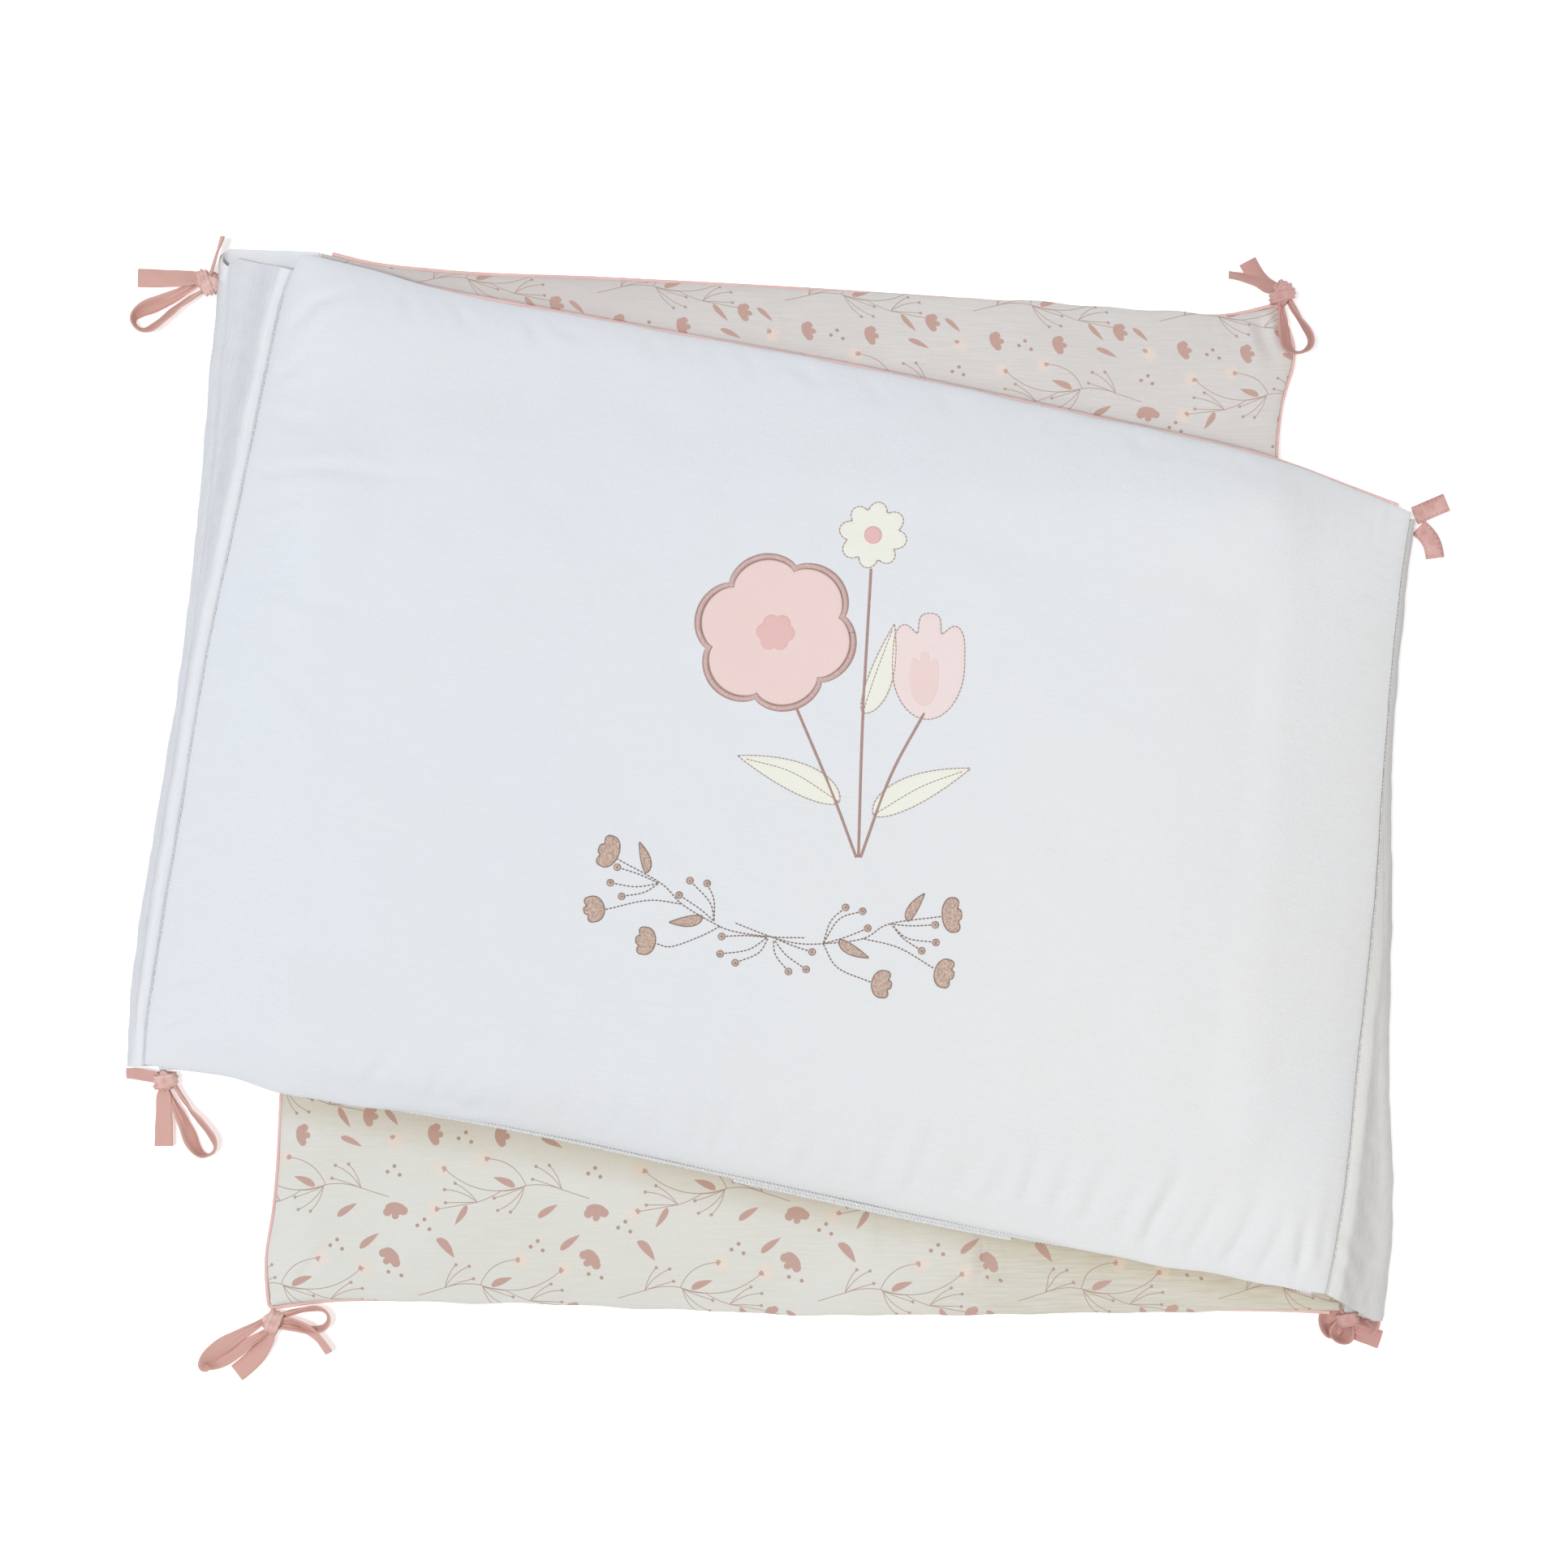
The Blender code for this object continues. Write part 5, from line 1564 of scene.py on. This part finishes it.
def headShape(cx, cy, opens, half, wide):
    # a flower seen from its side: smooth at its foot, three round petals at its open side
    turn = math.radians(opens)

    def shapeOf(angle):
        if angle is None:
            return cx, cy
        aside = abs(angle)
        grown = 1 + 0.12 * math.exp(-(((aside - 0.95) / 0.3) ** 2))
        grown -= 0.32 * math.exp(-(((aside - 0.5) / 0.15) ** 2))
        x, y = half * math.cos(angle) * grown, wide * math.sin(angle) * grown
        return cx + x * math.cos(turn) - y * math.sin(turn), cy + x * math.sin(turn) + y * math.cos(turn)

    return shapeOf


def leafShape(foot, tip, left, right):
    # blunt at its foot and pointed at its tip
    wayX, wayY = tip[0] - foot[0], tip[1] - foot[1]

    def shapeOf(angle):
        if angle is None:
            return foot[0] + 0.45 * wayX, foot[1] + 0.45 * wayY
        along = (1 + math.cos(angle)) / 2
        aside = 2.5 * (1 - along) * along**0.55 * (left if angle > 0 else -right)
        return foot[0] + along * wayX - aside * wayY, foot[1] + along * wayY + aside * wayX

    return shapeOf


def discShape(cx, cy, radius):
    def shapeOf(angle):
        if angle is None:
            return cx, cy
        return cx + radius * math.cos(angle), cy + radius * math.sin(angle)

    return shapeOf


def domesPiece(name, shapes, height, around, rings, finish):
    bm = bmesh.new()
    cloth = {}
    for shapeOf in shapes:
        domeInto(bm, cloth, shapeOf, height, around, rings)
    finishPiece(name, bm, finish, cloth, sharpOver=75)


def runningStitches(name, lines, look, finish, lift=0.16):
    # stitches one after another along lines on the panel
    places, ways, ups = [], [], []
    for line in lines:
        flat = evenly(smoothLine([(*p, 0.0) for p in line], 16), look["gap"])
        for middle, run in zip((flat[1:] + flat[:-1]) / 2, flat[1:] - flat[:-1]):
            place, normal = onPanel(middle[0], middle[1])
            way = unit(run)
            places.append(place + normal * lift * mm)
            ways.append(unit(way - normal * way.dot(normal)))
            ups.append(normal)
    stitchesPiece(name, places, ways, ups, look, finish)


def outlineOf(shapeOf, count):
    return [shapeOf(2 * math.pi * k / count - math.pi) for k in range(count + 1)]


roseThread = threadFinish("rose_gold_thread", clothLooks["roseGold"], (0.560, 0.375, 0.300), 0.5, 0.5, 0.6)
brownThread = threadFinish("brown_thread", clothLooks["brown"], (0.30, 0.195, 0.165), 0.55, 0.5)
heads = [headShape(*head) for head in garland["heads"]]
leaves = [leafShape(*leaf) for leaf in garland["leaves"]]
berries = [discShape(x, y, garland["berryRadius"]) for x, y in garland["berries"]]
runningStitches("garland_stems", garland["stems"], garland["stitch"], brownThread)
domesPiece("garland_heads", heads, 0.6, 64, 6, roseThread)
domesPiece("garland_leaves", leaves, 0.6, 40, 5, roseThread)
domesPiece("garland_berries", berries, 0.8, 16, 4, roseThread)
outlines = [outlineOf(shape, count) for shapes, count in ((heads, 96), (leaves, 48), (berries, 20))
            for shape in shapes]
runningStitches("garland_outlines", outlines, garland["outline"], brownThread, 0.28)
crosses = [((x - dx, y - dy), (x + dx, y + dy)) for x, y in garland["berries"]
           for dx, dy in ((0.5, 0.4), (-0.4, 0.5))]
runningStitches("garland_berry_crosses", crosses, garland["cross"], brownThread, 0.72)
print("garland done")

# the flower design in the middle
# a posy drawn for this part, in soft pinks and creams
posy = {
    "bloom": (-4, 82, 37, 6),
    "tulip": (68, 66, 88, 25, 17),
    "daisy": (42, 128, 16),
    "stems": (
        ((34, -24), (22, 8), (6, 46)), ((36, -24), (50, 14), (66, 44)), ((35, -24), (37, 40), (41, 112)),
    ),
    "leaves": (((26, 2), (-22, 24), 0.10, 0.20), ((42, -4), (88, 18), 0.20, 0.10),
               ((37, 44), (52, 86), 0.08, 0.20)),
    "ribs": (((26, 2), (4, 16), (-18, 22.5)), ((42, -4), (64, 9), (84, 16.5)),
             ((37, 44), (43, 62), (51, 83))),
    "border": 1.1,
    "outline": {"gap": 1.9, "length": 0.9, "half": 0.26},
}


def petalled(cx, cy, radius, petals, depth=0.16, phase=0.3):
    # an open flower seen from above
    def shapeOf(angle):
        if angle is None:
            return cx, cy
        wave = abs(math.cos(petals * (angle + phase) / 2)) ** 0.7
        r = radius * (1 - depth + depth * wave) * (1 + 0.03 * math.sin(angle * 2 + 0.6))
        return cx + r * math.cos(angle), cy + r * math.sin(angle)

    return shapeOf


def patchPiece(name, shapeOf, height, finish, around, rings):
    # a flat patch with a rounded rim, laid on the panel
    bm = bmesh.new()
    ball = bmesh.ops.create_uvsphere(bm, u_segments=around, v_segments=rings * 2, radius=1)["verts"]
    cx, cy = shapeOf(None)
    cloth = {}
    for vert in ball:
        px, py, pz = vert.co
        tall = math.asin(max(-1.0, min(1.0, pz))) / (math.pi / 2)  # 0 at the rim, 1 in the middle
        share = 1 - abs(tall)
        ex, ey = shapeOf(math.atan2(py, px))
        x, y = cx + (ex - cx) * share, cy + (ey - cy) * share
        place, normal = onPanel(x, y)
        up = height * (1 - share**14) if pz > 0 else 0.0
        vert.co = place + normal * (up - (0.06 if pz <= 0 else 0.0)) * mm
        cloth[vert] = (x * mm, y * mm)
    return finishPiece(name, bm, finish, cloth, sharpOver=80)


def satinBorder(name, shapeOf, radius, finish, lift, count=480):
    # a raised round of close stitches along an outline
    def ribs(far, angle):
        return radius * (1 + 0.05 * np.sin(far * 2 * math.pi / 0.9)) + 0 * angle

    line = overPanel([shapeOf(2 * math.pi * k / count) for k in range(count)], lift)
    madeOf(name, [(line, 10, ribs, True, 0.7)], finish)


patchPink = wovenCotton("patch_pink_cloth", clothLooks["palePink"], (0.80, 0.63, 0.61), sheen=0.25)
patchBlush = wovenCotton("patch_blush_cloth", clothLooks["blush"], (0.80, 0.69, 0.68), sheen=0.2)
patchCream = wovenCotton("patch_cream_cloth", clothLooks["cream"], (0.80, 0.81, 0.76), sheen=0.2)
patchRose = wovenCotton("patch_rose_cloth", (0.740, 0.470, 0.450), (0.76, 0.50, 0.48), sheen=0.25)
pinkThread = threadFinish("pink_thread", (0.900, 0.660, 0.620), (0.76, 0.50, 0.46), 0.5, 0.6)
deepThread = threadFinish("deep_rose_thread", (0.700, 0.460, 0.400), (0.52, 0.32, 0.28), 0.5, 0.5)

bloomX, bloomY, bloomRadius, bloomPetals = posy["bloom"]
bloom = petalled(bloomX, bloomY, bloomRadius, bloomPetals)
longLeaves = [leafShape(*leaf) for leaf in posy["leaves"]]
for k, leaf in enumerate(longLeaves):
    patchPiece("posy_leaf_%d" % (k + 1), leaf, 0.25, patchCream, 64, 10)
stems = []
for stem in posy["stems"]:
    line = smoothLine([(*p, 0.0) for p in stem], 24)[:, :2]
    stems.append((overPanel(evenly(line, 1.0), 0.1), 8, evenRadius(0.65), False, 0.6))
madeOf("posy_stems", stems, deepThread)
tulip = headShape(*posy["tulip"])
daisy = petalled(*posy["daisy"], 8, 0.28, 0.2)
bloomPatch = patchPiece("posy_bloom", bloom, 0.5, patchPink, 144, 24)
satinBorder("posy_bloom_border", bloom, posy["border"], pinkThread, 0.45)
rims = (("posy_bloom_edge", 1.35, 0.34, 0.25), ("posy_bloom_inner_edge", -1.5, 0.26, 0.6))
for name, further, radius, lift in rims:
    rim = petalled(bloomX, bloomY, bloomRadius + further, bloomPetals)
    satinBorder(name, rim, radius, deepThread, lift)
patchPiece("posy_bloom_heart", petalled(bloomX, bloomY, 10, 6, 0.2, 0.1), 0.9, patchRose, 64, 8)
patchPiece("posy_tulip", tulip, 0.3, patchBlush, 128, 16)
patchPiece("posy_tulip_inner", headShape(66, 60, 88, 14, 7.5), 0.5, patchPink, 96, 10)
patchPiece("posy_daisy", daisy, 0.3, patchCream, 96, 12)
patchPiece("posy_daisy_heart", discShape(*posy["daisy"][:2], 4.6), 0.9, patchRose, 32, 6)
outlines = [outlineOf(shape, 120) for shape in longLeaves + [tulip]] + [outlineOf(daisy, 160)]
runningStitches("posy_outlines", outlines + list(posy["ribs"]), posy["outline"], deepThread, 0.3)
print("posy done")


# light and camera
studio = {
    "cameraAt": (-0.00097, 0.01192, 2.6),
    "lens": 123.6,
    # kind, where it stands, size in metres or degrees, power, colour
    "lights": (
        ("SUN", (-0.26, -0.04, 1.0), 12, 1.86, (1.0, 0.995, 0.985)),
        ("AREA", (-1.3, 0.1, 1.7), 1.2, 4.0, (0.66, 0.85, 1.0)),
        ("AREA", (1.3, -0.3, 1.7), 1.2, 8.0, (1.0, 0.955, 0.88)),
    ),
    "sky": (0.95, 0.97, 1.0),
    "skyStrength": 0.34,
}


def addLight(kind, at, size, power, colour):
    # a light that looks at the middle of the floor
    data = bpy.data.lights.new("studio_light", kind)
    if kind == "SUN":
        data.angle = math.radians(size)
    else:
        data.size = size
    data.energy = power
    data.color = colour
    made = bpy.data.objects.new("studio_light", data)
    made.location = at
    made.rotation_euler = (-Vector(at)).to_track_quat("-Z", "Y").to_euler()
    bpy.context.scene.collection.objects.link(made)


for light in studio["lights"]:
    addLight(*light)
world = bpy.data.worlds.new("studio")
world.use_nodes = True
world.node_tree.nodes["Background"].inputs["Color"].default_value = (*studio["sky"], 1)
world.node_tree.nodes["Background"].inputs["Strength"].default_value = studio["skyStrength"]
scene = bpy.context.scene
scene.world = world
scene.view_settings.view_transform = "Standard"
camera = bpy.data.cameras.new("camera")
camera.lens = studio["lens"]
camera.sensor_width = 36.0
camera.clip_end = 20.0
cameraObject = bpy.data.objects.new("camera", camera)
cameraObject.location = studio["cameraAt"]
scene.collection.objects.link(cameraObject)
scene.camera = cameraObject
print("camera and light set")
